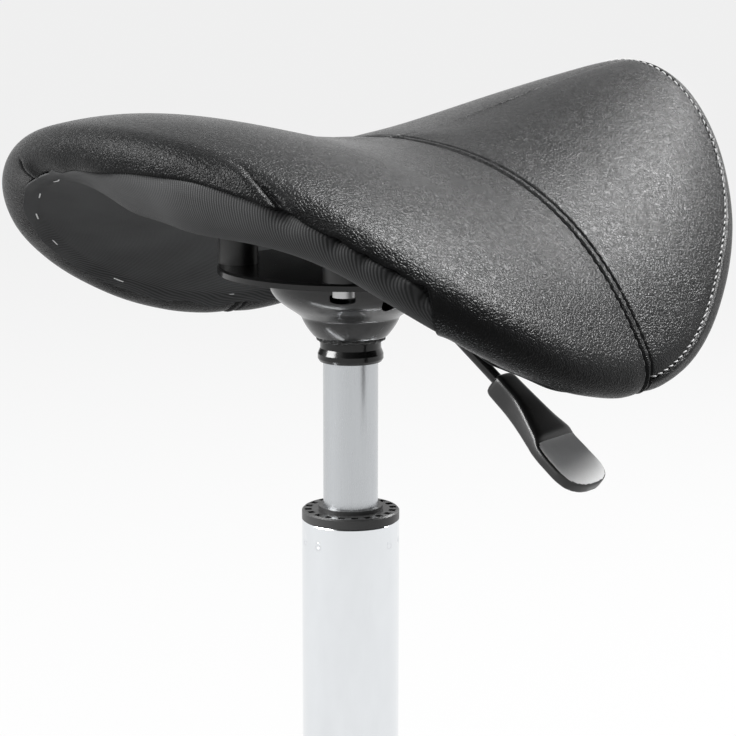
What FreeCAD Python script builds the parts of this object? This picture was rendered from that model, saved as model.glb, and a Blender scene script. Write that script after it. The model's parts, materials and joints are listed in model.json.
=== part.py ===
import FreeCAD, Part
import math
import os
import Sketcher

Vector = FreeCAD.Vector

doc = FreeCAD.newDocument("saddle_stool")
sheet = doc.addObject("Spreadsheet::Sheet", "sizes")

# Driving dimensions in millimetres and degrees. The origin is on the floor under the column, the seat's front
# faces -Y and the sitter's right hand is at -X.
SIZES = {
    # outer column and its guide
    "column_top": 310, "column_bottom": 75, "column_radius": 25, "column_foot_radius": 24.3, "column_wall": 1.5,
    "column_floor": 3, "column_taper_length": 65, "guide_length": 105, "guide_bore": 14.05, "collar_height": 5,
    "collar_lip_radius": 16.5, "collar_lip_height": 7, "collar_slot_count": 20,
    # cylinder, piston and rod
    "cylinder_radius": 14, "cylinder_bore": 12.5, "cylinder_bottom": 152, "cone_start": 82.2, "cone_end": 110,
    "cone_end_radius": 13.2, "rod_radius": 5, "rod_bottom": 70, "rod_top": 262, "piston_height": 10,
    "running_gap": 0.05, "seal_height": 10, "button_radius": 4, "button_rise": 6.3, "button_depth": 14,
    # thrust bearing under the piston rod
    "washer_bore": 5.3, "washer_radius": 9.5, "washer_thick": 1.5, "ball_radius": 1.6, "ball_pitch": 7.4,
    "ball_count": 12, "shoulder_radius": 8, "shoulder_height": 2.8, "bumper_radius": 10, "bumper_height": 4,
    "clip_radius": 9, "clip_thick": 1.2, "clip_groove": 4.2,
    # plate and bowl under the seat, heights above the column's top
    "plate_radius": 67, "plate_top": 131.5, "plate_thick": 2.5, "plate_rim": 3.6, "plate_hole": 12,
    "bowl_bottom": 94.5, "bowl_slot_width": 9, "bowl_slot_height": 13, "bowl_slot_turn": 22,
    "socket_radius": 15.5, "socket_bulge": 16.7,
    "bolt_square": 80, "bolt_radius": 3, "bolt_length": 40, "bolt_head_radius": 5.5, "bolt_head_height": 4,
    "bolt_washer_radius": 7, "bolt_washer_thick": 1.2, "spacer_radius": 10, "seat_reach": 220,
    "nut_barrel": 4.2, "nut_barrel_height": 4.3, "nut_flange": 9, "nut_thick": 1.2,
    # lever
    "lever_heading": 190, "lever_height": 119.6, "lever_rod_radius": 3, "lever_bend": 43, "lever_bend_radius": 14,
    "lever_slope": 37.5, "lever_back": 3, "lever_pivot": 22, "lever_eye_radius": 5, "lever_pin_radius": 2,
    "lever_reach": 120, "paddle_start": 88, "paddle_length": 78, "paddle_neck": 13, "paddle_width": 33,
    "paddle_thick": 12, "paddle_tip_thick": 8, "saddle_wall": 2, "saddle_length": 14, "saddle_gap": 0.4,
    # five-star base
    "hub_bottom": 76, "hub_top": 136, "hub_radius": 33, "leg_count": 5, "leg_reach": 225, "leg_wall": 2,
    "leg_root_width": 30, "leg_tip_width": 25, "leg_root_low": 84, "leg_root_high": 126, "leg_tip_low": 63,
    "leg_tip_high": 88, "leg_boss_radius": 9.5,
    # casters
    "stem_radius": 5.5, "stem_top": 85, "stem_bottom": 40, "stem_collar_radius": 8, "stem_collar_thick": 1.5,
    "wheel_radius": 25, "wheel_width": 17, "wheel_inner_face": 8, "caster_trail": 20, "axle_radius": 3,
    "hood_gap": 1.5, "hood_wall": 2.5, "hood_boss_radius": 7.6, "hood_web": 13, "caster_turn": 35,
    # seat form: the middle of its outline, its rim's distance from there every 30 degrees from the rear, and the
    # underside's height above the column's top with its fall at 60 and 120 mm out, every 70 mm from the rear
    "seat_middle": -24, "station_rear": 145, "station_step": 70,
    "rim_0": 169.5, "rim_30": 175.5, "rim_60": 166, "rim_90": 141, "rim_120": 141, "rim_150": 160.5, "rim_180": 183,
    "ridge_1": 184.5, "ridge_2": 170, "ridge_3": 152.7, "ridge_4": 156.1, "ridge_5": 176, "ridge_6": 199.7,
    "fall60_1": 6.5, "fall60_2": 5.6, "fall60_3": 5.7, "fall60_4": 9.0, "fall60_5": 16.4, "fall60_6": 44.8,
    "fall120_1": 29.2, "fall120_2": 28.8, "fall120_3": 32.1, "fall120_4": 48.4, "fall120_5": 80.9,
    "fall120_6": 197.9,
    "edge_thick": 26, "crown_thick": 42.3, "roll_rear": 13.5, "roll_side": 18.8, "roll_front": 17,
    "cover_thick": 1.5, "shell_thick": 9, "shell_inset": 5, "fabric_inset": 17, "fabric_lift": 0.1,
    "fabric_thick": 0.8,
    "centre_seam": -34, "border_front": -204, "border_side": -48, "border_half_width": 175,
    "staple_count": 26, "staple_length": 12, "staple_wire": 0.9, "staple_leg": 6,
}

for row, (alias, value) in enumerate(SIZES.items(), start=1):
    sheet.set(f"A{row}", alias)
    sheet.set(f"B{row}", str(value))
    sheet.setAlias(f"B{row}", alias)
doc.recompute()

pieces = {}


def size(alias):
    return float(sheet.get(alias))


def cell(expression):
    """Write a formula of size names as an expression on the sheet."""
    words = "".join(c if c.isalnum() or c == "_" else " " for c in expression).split()
    for word in sorted(set(words), key=len, reverse=True):
        if word in SIZES:
            expression = replace_word(expression, word, f"sizes.{word}")
    return expression


def replace_word(text, word, new):
    parts = []
    name = ""
    for char in text + " ":
        if char.isalnum() or char in "_.":
            name += char
            continue
        parts.append(new if name == word else name)
        parts.append(char)
        name = ""
    return "".join(parts).strip()


def value_of(expression):
    """The number that a formula of size names gives."""
    found = sheet.evalExpression(cell(expression))
    return float(getattr(found, "Value", found))


def bind(target, **formulas):
    for name, formula in formulas.items():
        target.setExpression(name.replace("__", "."), cell(str(formula)))
    return target


def place(target, x="0", y="0", z="0", turn="0"):
    """Stand an object at a place bound to the sheet, turned about the vertical."""
    bind(target, Placement__Base__x=x, Placement__Base__y=y, Placement__Base__z=z)
    if str(turn) != "0":
        bind(target, Placement__Rotation__Angle=turn)
    return target


def cylinder(name, radius, height, **where):
    target = doc.addObject("Part::Cylinder", name)
    return place(bind(target, Radius=radius, Height=height), **where)


def box(name, length, width, height, **where):
    target = doc.addObject("Part::Box", name)
    return place(bind(target, Length=length, Width=width, Height=height), **where)


def cut(name, base, tool):
    target = doc.addObject("Part::Cut", name)
    target.Base = base
    target.Tool = tool
    return target


def fuse(name, shapes):
    target = doc.addObject("Part::MultiFuse", name)
    target.Shapes = shapes
    return target


def common(name, shapes):
    target = doc.addObject("Part::MultiCommon", name)
    target.Shapes = shapes
    return target


def held(name, target):
    """A holder that gives a finished piece a further placement."""
    holder = doc.addObject("Part::Compound", name)
    holder.Links = [target]
    return holder


def formed(name, shape):
    target = doc.addObject("Part::Feature", name)
    target.Shape = shape
    return target


def turned(name, profile, **where):
    """Turn a closed profile, a list of (radius, height) formulas, about the vertical axis."""
    body = doc.addObject("PartDesign::Body", name)
    plane = [f for f in body.Origin.OriginFeatures if f.Role == "XZ_Plane"][0]
    sketch = body.newObject("Sketcher::SketchObject", name + "_profile")
    sketch.AttachmentSupport = [(plane, "")]
    sketch.MapMode = "FlatFace"
    corners = [Vector(value_of(r), value_of(z), 0) for r, z in profile]
    count = len(corners)
    for index in range(count):
        sketch.addGeometry(Part.LineSegment(corners[index], corners[(index + 1) % count]), False)
    for index in range(count):
        sketch.addConstraint(Sketcher.Constraint("Coincident", index, 2, (index + 1) % count, 1))
    for index, (radius, height) in enumerate(profile):
        if corners[index].x < 1e-9:
            sketch.addConstraint(Sketcher.Constraint("PointOnObject", index, 1, -2))
        else:
            number = sketch.addConstraint(
                Sketcher.Constraint("DistanceX", -1, 1, index, 1, corners[index].x))
            sketch.setExpression(f"Constraints[{number}]", cell(radius))
        number = sketch.addConstraint(Sketcher.Constraint("DistanceY", -1, 1, index, 1, corners[index].y))
        sketch.setExpression(f"Constraints[{number}]", cell(height))
    turning = body.newObject("PartDesign::Revolution", name + "_turning")
    turning.Profile = sketch
    turning.ReferenceAxis = (sketch, ["V_Axis"])
    turning.Angle = 360
    body.Tip = turning
    return place(body, **where)


def piece(node, target):
    """Name the finished sub-part; its name is also its file's."""
    target.Label = node
    pieces[node] = target
    return target


# Seat form. Every height here is above the floor.

def cosine_through(values, angle):
    """The even periodic curve through values at equal steps from 0 to 180 degrees."""
    steps = len(values) - 1
    total = 0
    for order in range(steps + 1):
        share = 0
        for index, known in enumerate(values):
            weight = 0.5 if index in (0, steps) else 1
            share += weight * known * math.cos(order * index * math.pi / steps)
        share *= 2 / steps * (0.5 if order in (0, steps) else 1)
        total += share * math.cos(order * angle)
    return total


def polynomial_through(values, y):
    """The smooth curve through values at the seat's stations."""
    stations = [size("station_rear") - size("station_step") * index for index in range(len(values))]
    total = 0
    for index, known in enumerate(values):
        term = known
        for other, station in enumerate(stations):
            if other != index:
                term *= (y - station) / (stations[index] - station)
        total += term
    return total


RIM = [size(f"rim_{degrees}") for degrees in range(0, 181, 30)]
RIDGE = [size(f"ridge_{index}") for index in range(1, 7)]
FALL_60 = [size(f"fall60_{index}") for index in range(1, 7)]
FALL_120 = [size(f"fall120_{index}") for index in range(1, 7)]


def underside(x, y):
    """Height of the seat's underside."""
    near = polynomial_through(FALL_60, y)
    far = polynomial_through(FALL_120, y)
    quartic = (far - 4 * near) / 12
    square = near - quartic
    out = (x / 60) ** 2
    return size("column_top") + polynomial_through(RIDGE, y) - square * out - quartic * out * out


def normal_at(x, y):
    step = 0.5
    across = (underside(x + step, y) - underside(x - step, y)) / (2 * step)
    along = (underside(x, y + step) - underside(x, y - step)) / (2 * step)
    return Vector(-across, -along, 1).normalize()


def rim_at(angle):
    """A point on the rim; the angle runs from the rear to the sitter's left."""
    radius = cosine_through(RIM, angle)
    x = radius * math.sin(angle)
    y = size("seat_middle") + radius * math.cos(angle)
    return Vector(x, y, underside(x, y))


def rim_frame(angle):
    """The rim's point, its outward direction in the underside, and the underside's normal."""
    point = rim_at(angle)
    along = rim_at(angle - 0.001) - rim_at(angle + 0.001)
    normal = normal_at(point.x, point.y)
    outward = along.cross(normal).normalize()
    if outward.dot(Vector(point.x, point.y - size("seat_middle"), 0)) < 0:
        outward = -outward
    return point, outward, normal


def roll_point(angle, around, inset):
    """A point on the rolled edge: around is -90 degrees at the underside, 0 outermost and 90 on top."""
    point, outward, normal = rim_frame(angle)
    middle = (size("roll_rear") + size("roll_front")) / 4 + size("roll_side") / 2
    swing = (size("roll_rear") + size("roll_front")) / 4 - size("roll_side") / 2
    lean = (size("roll_rear") - size("roll_front")) / 2
    reach = middle + lean * math.cos(angle) + swing * math.cos(2 * angle) - inset
    half = size("edge_thick") / 2
    around = math.radians(around)
    return point + outward * (reach * math.cos(around)) + normal * (half + (half - inset) * math.sin(around))


def thickness(x, y):
    """The upholstery's thickness, full in the middle and falling towards the rim."""
    angle = math.atan2(abs(x), y - size("seat_middle"))
    share = min(1, math.hypot(x, y - size("seat_middle")) / cosine_through(RIM, angle))
    return size("edge_thick") + (size("crown_thick") - size("edge_thick")) * (1 - share * share)


def lifted(x, y, lift):
    """The point over (x, y) that stands off the underside by a lift, a function of place."""
    foot_x = x
    foot_y = y
    for _ in range(8):
        rise = normal_at(foot_x, foot_y) * lift(foot_x, foot_y)
        foot_x = x - rise.x
        foot_y = y - rise.y
    return Vector(x, y, underside(foot_x, foot_y) + rise.z)


def edge_point(angle, lift, inset):
    """A point a given lift above the underside, on a line inset from the rim."""
    point, outward, normal = rim_frame(angle)
    foot = point - outward * inset
    return Vector(foot.x, foot.y, underside(foot.x, foot.y)) + normal * lift


def crossing(curve, station):
    """Where a curve of the rim's angle crosses a fore-and-aft station, on the sitter's left."""
    low = 0
    high = math.pi
    for _ in range(40):
        middle = (low + high) / 2
        if curve(middle).y > station:
            low = middle
        else:
            high = middle
    return curve((low + high) / 2)


def on_station(curve, station):
    point = crossing(curve, station)
    return Vector(point.x, station, point.z)


def mirrored(point):
    return Vector(-point.x, point.y, point.z)


def arcs_and_lines(points, kinds):
    """One closed wire: kind 3 takes an arc through the next two points, kind 2 a line to the next."""
    edges = []
    start = 0
    for kind in kinds:
        if kind == 3:
            a, b, c = points[start], points[start + 1], points[(start + 2) % len(points)]
            edges.append(Part.Arc(a, b, c).toShape())
            start += 2
        else:
            a, b = points[start], points[(start + 1) % len(points)]
            edges.append(Part.makeLine(a, b))
            start += 1
    return Part.Wire(edges)


def pad_section(station, inset, reach):
    """A cross-section of the upholstered seat, as arcs from the middle of the underside round and back.

    A section over the rim's middle reaches round the whole rolled edge, 90 degrees each way, and one past the
    rim at either end takes only the outer part of the roll.
    """
    roll = [on_station(lambda a: roll_point(a, around, inset), station)
            for around in (-reach, -reach / 2, 0, reach / 2, reach)]
    if reach == 90:
        low = lifted(0, station, lambda x, y: inset)
        low_half = lifted(roll[0].x / 2, station, lambda x, y: inset)
        high = lifted(0, station, lambda x, y: thickness(x, y) - inset)
        high_half = lifted(roll[-1].x / 2, station, lambda x, y: thickness(x, y) - inset)
    else:
        end = 0 if station > size("seat_middle") else math.pi
        low = end_of_roll(station, inset, end, -1)
        high = end_of_roll(station, inset, end, 1)
        low_half = Vector(roll[0].x / 2, station, low.z * 0.7 + roll[0].z * 0.3)
        high_half = Vector(roll[-1].x / 2, station, high.z * 0.7 + roll[-1].z * 0.3)
    left = [low, low_half] + roll + [high_half, high]
    points = left + [mirrored(point) for point in reversed(left[1:-1])]
    return arcs_and_lines(points, [3] * 8)


def end_of_roll(station, inset, end, side):
    """The rolled edge's point on the middle line at a station past the rim, below (-1) or above (1)."""
    low = 0
    high = 90
    outermost = roll_point(end, 0, inset).y
    for _ in range(40):
        middle = (low + high) / 2
        gone = abs(roll_point(end, side * middle, inset).y - outermost)
        if gone < abs(station - outermost):
            low = middle
        else:
            high = middle
    point = roll_point(end, side * (low + high) / 2, inset)
    return Vector(0, station, point.z)


def pad(inset):
    """The upholstered seat's whole volume, drawn in by an inset from its outer skin."""
    rear = roll_point(0, 0, inset).y
    front = roll_point(math.pi, 0, inset).y
    rear_rim = roll_point(0, 90, inset).y
    front_rim = roll_point(math.pi, 90, inset).y
    stations = [rear_rim - 5, 125, 100, 60, 10, -40, -85, -125, -160, -182, front_rim + 6]
    sections = [pad_section(rear - 2, inset, 14), pad_section(rear - 6, inset, 30)]
    sections += [pad_section(station, inset, 90) for station in stations]
    sections += [pad_section(front + 6, inset, 30), pad_section(front + 2, inset, 14)]
    return Part.makeLoft(sections, True, False)


def slab_section(degrees, inset, low, high):
    angle = math.radians(degrees)
    station = edge_point(angle, low, inset).y
    edge_low = on_station(lambda a: edge_point(a, low, inset), station)
    edge_high = on_station(lambda a: edge_point(a, high, inset), station)
    left = [lifted(0, station, lambda x, y: low), lifted(edge_low.x / 2, station, lambda x, y: low), edge_low,
            edge_high, lifted(edge_high.x / 2, station, lambda x, y: high),
            lifted(0, station, lambda x, y: high)]
    points = left + [mirrored(point) for point in reversed(left[1:-1])]
    return arcs_and_lines(points, [3, 2, 3, 3, 2, 3])


def slab(inset, low, high):
    """A sheet that follows the seat's underside, between two lifts above it and inset from the rim."""
    sections = []
    for degrees in (16, 28, 42, 58, 76, 94, 112, 130, 146, 158, 167):
        sections.append(slab_section(degrees, inset, low, high))
    return Part.makeLoft(sections, True, False)


outer = formed("pad_outer", pad(0))
inner = formed("pad_inner", pad(size("cover_thick")))
shell_low = size("cover_thick") + 0.2
shell_high = shell_low + size("shell_thick")
shell_slab = formed("shell_slab", slab(size("shell_inset"), shell_low, shell_high))
shell_room = formed("shell_room", slab(size("shell_inset") - 0.2, -8, shell_high + 0.1))
fabric_window = formed("fabric_window", slab(size("fabric_inset"), -8, 7))
fabric_slab = formed("fabric_slab", slab(size("fabric_inset") + 0.3, size("fabric_lift"),
                                         size("fabric_lift") + size("fabric_thick")))
over_shell = formed("over_shell", slab(size("shell_inset"), shell_low - 0.1, shell_low + 60))
shell_limit = formed("shell_limit", pad(size("cover_thick") + 0.15))


def bolt_places():
    half = "bolt_square / 2"
    return [(f"{a}{half}", f"{b}{half}") for a in ("", "-") for b in ("", "-")]


def bolt_group(name, make):
    return fuse(name, [make(f"{name}_{index}", x, y) for index, (x, y) in enumerate(bolt_places(), start=1)])


PLATE_LOW = "column_top + plate_top - plate_thick"
HEAD_TOP = f"{PLATE_LOW} - bolt_washer_thick"


def seat_parts():
    """Shell, foam, leather panels and the fabric under the seat."""
    holes = bolt_group("shell_holes", lambda n, x, y: cylinder(
        n, "nut_barrel", "seat_reach", x=x, y=y, z="column_top"))
    barrel_top = shell_tops()
    flanges = fuse("flange_rooms", [
        cylinder(f"flange_room_{index}", "nut_flange", "30", x=x, y=y, z=str(top))
        for index, ((x, y), top) in enumerate(zip(bolt_places(), barrel_top))])
    inside_cover = common("shell_trimmed", [shell_slab, shell_limit])
    shell = cut("shell_bored", cut("shell_flanged", inside_cover, flanges), holes)
    piece("seat_shell", shell)
    room = fuse("hardware_room", [
        cylinder(f"hardware_room_{index}", "nut_flange", "nut_thick + 0.1", x=x, y=y, z=str(top))
        for index, ((x, y), top) in enumerate(zip(bolt_places(), barrel_top))]
        + [cylinder(f"bolt_room_{index}", "bolt_radius + 1", "bolt_length + 3", x=x, y=y, z=HEAD_TOP)
           for index, (x, y) in enumerate(bolt_places())])
    foam = cut("foam_bored", cut("foam_seated", inner, shell_room), room)
    piece("seat_foam", foam)
    cover = cut("cover_opened", cut("cover_skin", outer, inner), fabric_window)
    piece("cover_rear_panel", common("cover_rear", [cover, panel_block("rear_block", "rear")]))
    piece("cover_front_panel", common("cover_front", [cover, panel_block("front_block", "front")]))
    piece("cover_border_band", common("cover_border", [cover, panel_block("border_block", "border")]))
    legs = bolt_group("fabric_holes", lambda n, x, y: cylinder(
        n, "spacer_radius + 0.3", "seat_reach", x=x, y=y, z="column_top"))
    piece("dust_cover", cut("fabric_holed", fabric_slab, legs))


def shell_tops():
    """Where each T-nut's flange lies, level with the lowest point of the shell's top under it."""
    tops = []
    for x, y in bolt_places():
        tops.append(lifted(value_of(x), value_of(y), lambda a, b: shell_high).z - 3)
    return tops


def panel_block(name, panel):
    """The upright block that a leather panel is cut with, bounded by the seams seen from above."""
    low = 250
    high = 600
    wide = 300
    seam = size("centre_seam")
    side = size("border_half_width")
    ends = [Vector(-side, size("border_side"), low), Vector(0, size("border_front"), low),
            Vector(side, size("border_side"), low)]
    curve = border_curve(ends)
    if panel == "rear":
        face = Part.Face(Part.makePolygon([Vector(-wide, seam, low), Vector(wide, seam, low),
                                           Vector(wide, wide, low), Vector(-wide, wide, low),
                                           Vector(-wide, seam, low)]))
    elif panel == "front":
        lines = Part.makePolygon([ends[2], Vector(side, seam, low), Vector(-side, seam, low), ends[0]])
        face = Part.Face(Part.Wire([curve] + lines.Edges))
    else:
        lines = Part.makePolygon([ends[2], Vector(side, seam, low), Vector(wide, seam, low),
                                  Vector(wide, -wide, low), Vector(-wide, -wide, low),
                                  Vector(-wide, seam, low), Vector(-side, seam, low), ends[0]])
        face = Part.Face(Part.Wire([curve] + lines.Edges))
    return formed(name, face.extrude(Vector(0, 0, high - low)))


def border_curve(ends):
    """The border seam from above: an even bow between its two ends through the front."""
    depth = ends[1].y - ends[0].y
    points = []
    for step in range(9):
        share = -1 + step / 4
        points.append(Vector(ends[2].x * share, ends[1].y - depth * abs(share) ** 2.4, ends[0].z))
    bow = Part.BSplineCurve()
    bow.interpolate(points)
    return bow.toShape()


def seat_fixings():
    """Staples, T-nuts, bolts, washers and spacers."""
    piece("cover_staples", formed("staple_group", staples()))
    tops = shell_tops()
    nuts = []
    for index, ((x, y), top) in enumerate(zip(bolt_places(), tops), start=1):
        flange = cylinder(f"nut_flange_{index}", "nut_flange", "nut_thick", x=x, y=y, z=str(top))
        barrel = cylinder(f"nut_barrel_{index}", "nut_barrel", "nut_barrel_height", x=x, y=y,
                          z=f"{top} - nut_barrel_height")
        bore = cylinder(f"nut_bore_{index}", "bolt_radius", "30", x=x, y=y, z=f"{top} - 15")
        nuts.append(cut(f"nut_{index}", fuse(f"nut_solid_{index}", [flange, barrel]), bore))
    piece("seat_tnuts", fuse("nut_group", nuts))

    def bolt(name, x, y):
        shank = cylinder(name + "_shank", "bolt_radius", "bolt_length", x=x, y=y, z=HEAD_TOP)
        head = cylinder(name + "_head", "bolt_head_radius", "bolt_head_height", x=x, y=y,
                        z=f"{HEAD_TOP} - bolt_head_height")
        socket = cylinder(name + "_socket", "2.2", "2.5", x=x, y=y, z=f"{HEAD_TOP} - bolt_head_height")
        return cut(name, fuse(name + "_solid", [shank, head]), socket)

    def washer(name, x, y):
        disc = cylinder(name + "_disc", "bolt_washer_radius", "bolt_washer_thick", x=x, y=y, z=HEAD_TOP)
        bore = cylinder(name + "_bore", "bolt_radius + 0.2", "10", x=x, y=y, z=f"{HEAD_TOP} - 5")
        return cut(name, disc, bore)

    def spacer(name, x, y):
        block = cylinder(name + "_block", "spacer_radius", "60", x=x, y=y, z="column_top + plate_top")
        bore = cylinder(name + "_bore", "bolt_radius + 0.3", "80", x=x, y=y, z="column_top + plate_top - 5")
        return cut(name, block, bore)

    piece("seat_bolts", bolt_group("bolt", bolt))
    piece("seat_washers", bolt_group("washer", washer))
    piece("seat_spacers", cut("spacer_group", bolt_group("spacer", spacer), over_shell))


def staples():
    """Wire staples all round, along the fabric's edge, with their legs up through it into the shell."""
    solids = []
    count = int(size("staple_count"))
    wire = size("staple_wire")
    for index in range(count):
        angle = (index + 0.5) * 2 * math.pi / count
        side = 1 if angle < math.pi else -1
        angle = min(angle, 2 * math.pi - angle)
        here = edge_point(angle, 0, size("fabric_inset") + 5)
        point, outward, normal = rim_frame(angle)
        along = outward.cross(normal).normalize()
        crown = Part.makeBox(size("staple_length"), wire, wire / 2)
        leg = Part.makeBox(wire / 2, wire, size("staple_leg"))
        far_leg = leg.translated(Vector(size("staple_length") - wire / 2, 0, 0))
        staple = crown.fuse([leg, far_leg]).removeSplitter()
        turn = FreeCAD.Rotation(along, normal.cross(along), normal, "XYZ")
        staple.Placement = FreeCAD.Placement(here - along * (size("staple_length") / 2) - normal * (wire / 2), turn)
        if side < 0:
            staple = staple.mirror(Vector(0, 0, 0), Vector(1, 0, 0))
        solids.append(staple)
    return Part.makeCompound(solids)


def seat_mechanism():
    """Plate, bowl, cone socket and the lever's saddle and pin."""
    plate = turned("plate_turned", [
        ("plate_hole", PLATE_LOW), ("plate_radius - plate_thick", PLATE_LOW),
        ("plate_radius - plate_thick", "column_top + plate_top - plate_rim"),
        ("plate_radius", "column_top + plate_top - plate_rim"), ("plate_radius", "column_top + plate_top - 1"),
        ("plate_radius - 1", "column_top + plate_top"), ("plate_hole", "column_top + plate_top")])
    holes = bolt_group("plate_bolt_holes", lambda n, x, y: cylinder(
        n, "bolt_radius + 0.3", "20", x=x, y=y, z=f"{PLATE_LOW} - 8"))
    piece("seat_plate", cut("plate_holed", plate, holes))
    low = "column_top + bowl_bottom"
    bowl = turned("bowl_turned", [
        ("socket_radius", low), ("18", f"{low} + 2.7"), ("22.6", f"{low} + 7.3"), ("23.3", f"{low} + 10.6"),
        ("28", f"{low} + 13"), ("36.5", f"{low} + 18.5"), ("40", f"{low} + 24"),
        ("41.5", f"{PLATE_LOW} - 2"), ("46", f"{PLATE_LOW} - 2"), ("46", PLATE_LOW),
        ("39.5", PLATE_LOW), ("38", f"{low} + 24.5"), ("35", f"{low} + 20.2"), ("27.2", f"{low} + 15"),
        ("21.4", f"{low} + 12.3"), ("20.6", f"{low} + 8.2"), ("17", f"{low} + 4.6"), ("socket_radius", f"{low} + 3")])
    slots = []
    for number, turn in enumerate(("lever_heading", "(lever_heading - bowl_slot_turn)")):
        slot = box(f"bowl_slot_{number}", "40", "bowl_slot_width", "bowl_slot_height",
                   x=f"20 * cos({turn} * 1 deg) + bowl_slot_width / 2 * sin({turn} * 1 deg)",
                   y=f"20 * sin({turn} * 1 deg) - bowl_slot_width / 2 * cos({turn} * 1 deg)",
                   z=f"{low} + 18.5", turn=turn)
        slots.append(slot)
    piece("lift_bowl", cut("bowl_slotted", bowl, fuse("bowl_slots", slots)))
    foot = "column_top + cone_start"
    piece("cone_socket", turned("socket_turned", [
        ("cylinder_radius", foot), ("15.9", foot), ("socket_bulge", f"{foot} + 1.4"),
        ("socket_bulge", f"{foot} + 3.8"), ("socket_radius", f"{foot} + 6.8"),
        ("socket_radius", "column_top + cone_end + 1"), ("cone_end_radius", "column_top + cone_end + 1"),
        ("cone_end_radius", "column_top + cone_end")]))
    lever_carrier()


def lever_carrier():
    """The bent strip under the plate, and the pin through its two ears."""
    ear_low = "column_top + lever_height - 4.5"
    ear_height = f"{PLATE_LOW} - ({ear_low})"
    inner_gap = "lever_rod_radius + saddle_gap"
    start = "lever_pivot - saddle_length / 2"
    base = box("saddle_base", "saddle_length", f"2 * ({inner_gap} + saddle_wall)", "saddle_wall",
               x=start, y=f"-({inner_gap}) - saddle_wall", z=f"{PLATE_LOW} - saddle_wall")
    ears = [box(f"saddle_ear_{side}", "saddle_length", "saddle_wall", ear_height, x=start, y=where, z=ear_low)
            for side, where in (("left", inner_gap), ("right", f"-({inner_gap}) - saddle_wall"))]
    bore = cross_pin("saddle_bore", "lever_pin_radius", "40")
    saddle = cut("saddle_bored", fuse("saddle_strip", [base] + ears), bore)
    piece("lever_saddle", headed(saddle))
    piece("lever_pin", headed(cross_pin("pin_rod", "lever_pin_radius", f"2 * ({inner_gap} + saddle_wall + 1)")))


def cross_pin(name, radius, length):
    """A pin across the lever's line at its pivot."""
    pin = cylinder(name, radius, length, x="lever_pivot", y=f"({length}) / 2", z="column_top + lever_height")
    pin.Placement.Rotation = FreeCAD.Rotation(Vector(1, 0, 0), 90)
    return pin


def headed(target):
    """Turn a piece made along +X to the lever's heading."""
    return place(held(target.Name + "_headed", target), turn="lever_heading")


def lever_parts():
    """The bent rod with its pivot eye, and the paddle on it."""
    slope = math.radians(size("lever_slope"))
    height = size("column_top") + size("lever_height")
    bend = Vector(size("lever_bend"), 0, height)
    down = Vector(math.cos(slope), 0, -math.sin(slope))
    trim = size("lever_bend_radius") * math.tan(slope / 2)
    start = Vector(-size("lever_back"), 0, height)
    before = bend - Vector(trim, 0, 0)
    after = bend + down * trim
    centre = before - Vector(0, 0, size("lever_bend_radius"))
    half = Vector(math.sin(slope / 2), 0, math.cos(slope / 2))
    crown = centre + half * size("lever_bend_radius")
    end = bend + down * ((size("lever_reach") - size("lever_bend")) / math.cos(slope))
    path = Part.Wire([Part.makeLine(start, before), Part.Arc(before, crown, after).toShape(),
                      Part.makeLine(after, end)])
    ring = Part.Wire(Part.makeCircle(size("lever_rod_radius"), start, Vector(1, 0, 0)))
    rod = path.makePipeShell([ring], True, False)
    eye = cross_pin("lever_eye", "lever_eye_radius", "2 * lever_rod_radius")
    hole = cross_pin("lever_eye_hole", "lever_pin_radius + running_gap", "40")
    piece("lever_rod", headed(cut("rod_bored", fuse("rod_with_eye", [formed("rod_bent", rod), eye]), hole)))
    piece("lever_paddle", headed(cut("paddle_bored", formed("paddle_form", paddle(bend, down)),
                                     formed("paddle_bore", rod))))


def paddle(bend, down):
    """A flat paddle along the rod's lower run, lofted from its neck to its round end."""
    slope = math.radians(size("lever_slope"))
    up = Vector(math.sin(slope), 0, math.cos(slope))
    root = bend + down * ((size("paddle_start") - size("lever_bend")) / math.cos(slope))
    length = size("paddle_length")
    neck = size("paddle_neck") / 2
    wide = size("paddle_width") / 2
    thick = size("paddle_thick") / 2
    tip = size("paddle_tip_thick") / 2
    sections = []
    for share, half_width, half_thick in ((0, neck - 1, thick - 1), (0.05, neck, thick), (0.22, neck + 0.5, thick),
                                          (0.5, wide * 0.82, tip + 1), (0.72, wide, tip), (0.88, wide * 0.86, tip),
                                          (0.97, wide * 0.52, tip * 0.85), (1, wide * 0.3, tip * 0.6)):
        middle = root + down * (length * share)
        sections.append(rounded_ring(middle, Vector(0, 1, 0), up, half_width, half_thick))
    return Part.makeLoft(sections, True, False)


def rounded_ring(middle, across, up, half_width, half_thick):
    """A closed oblong with arc-shaped corners, as eight edges."""
    corner = half_thick * 0.6
    flat_x = half_width - corner
    flat_z = half_thick - corner
    knee = corner * math.sqrt(0.5)
    points = []
    for sx, sz, first in ((1, 1, 0), (-1, 1, 1), (-1, -1, 0), (1, -1, 1)):
        on_side = (sx * half_width, sz * flat_z)
        on_knee = (sx * (flat_x + knee), sz * (flat_z + knee))
        on_top = (sx * flat_x, sz * half_thick)
        points += [on_top, on_knee, on_side] if first else [on_side, on_knee, on_top]
    corners = [middle + across * x + up * z for x, z in points]
    return arcs_and_lines(corners, [3, 2, 3, 2, 3, 2, 3, 2])


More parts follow.
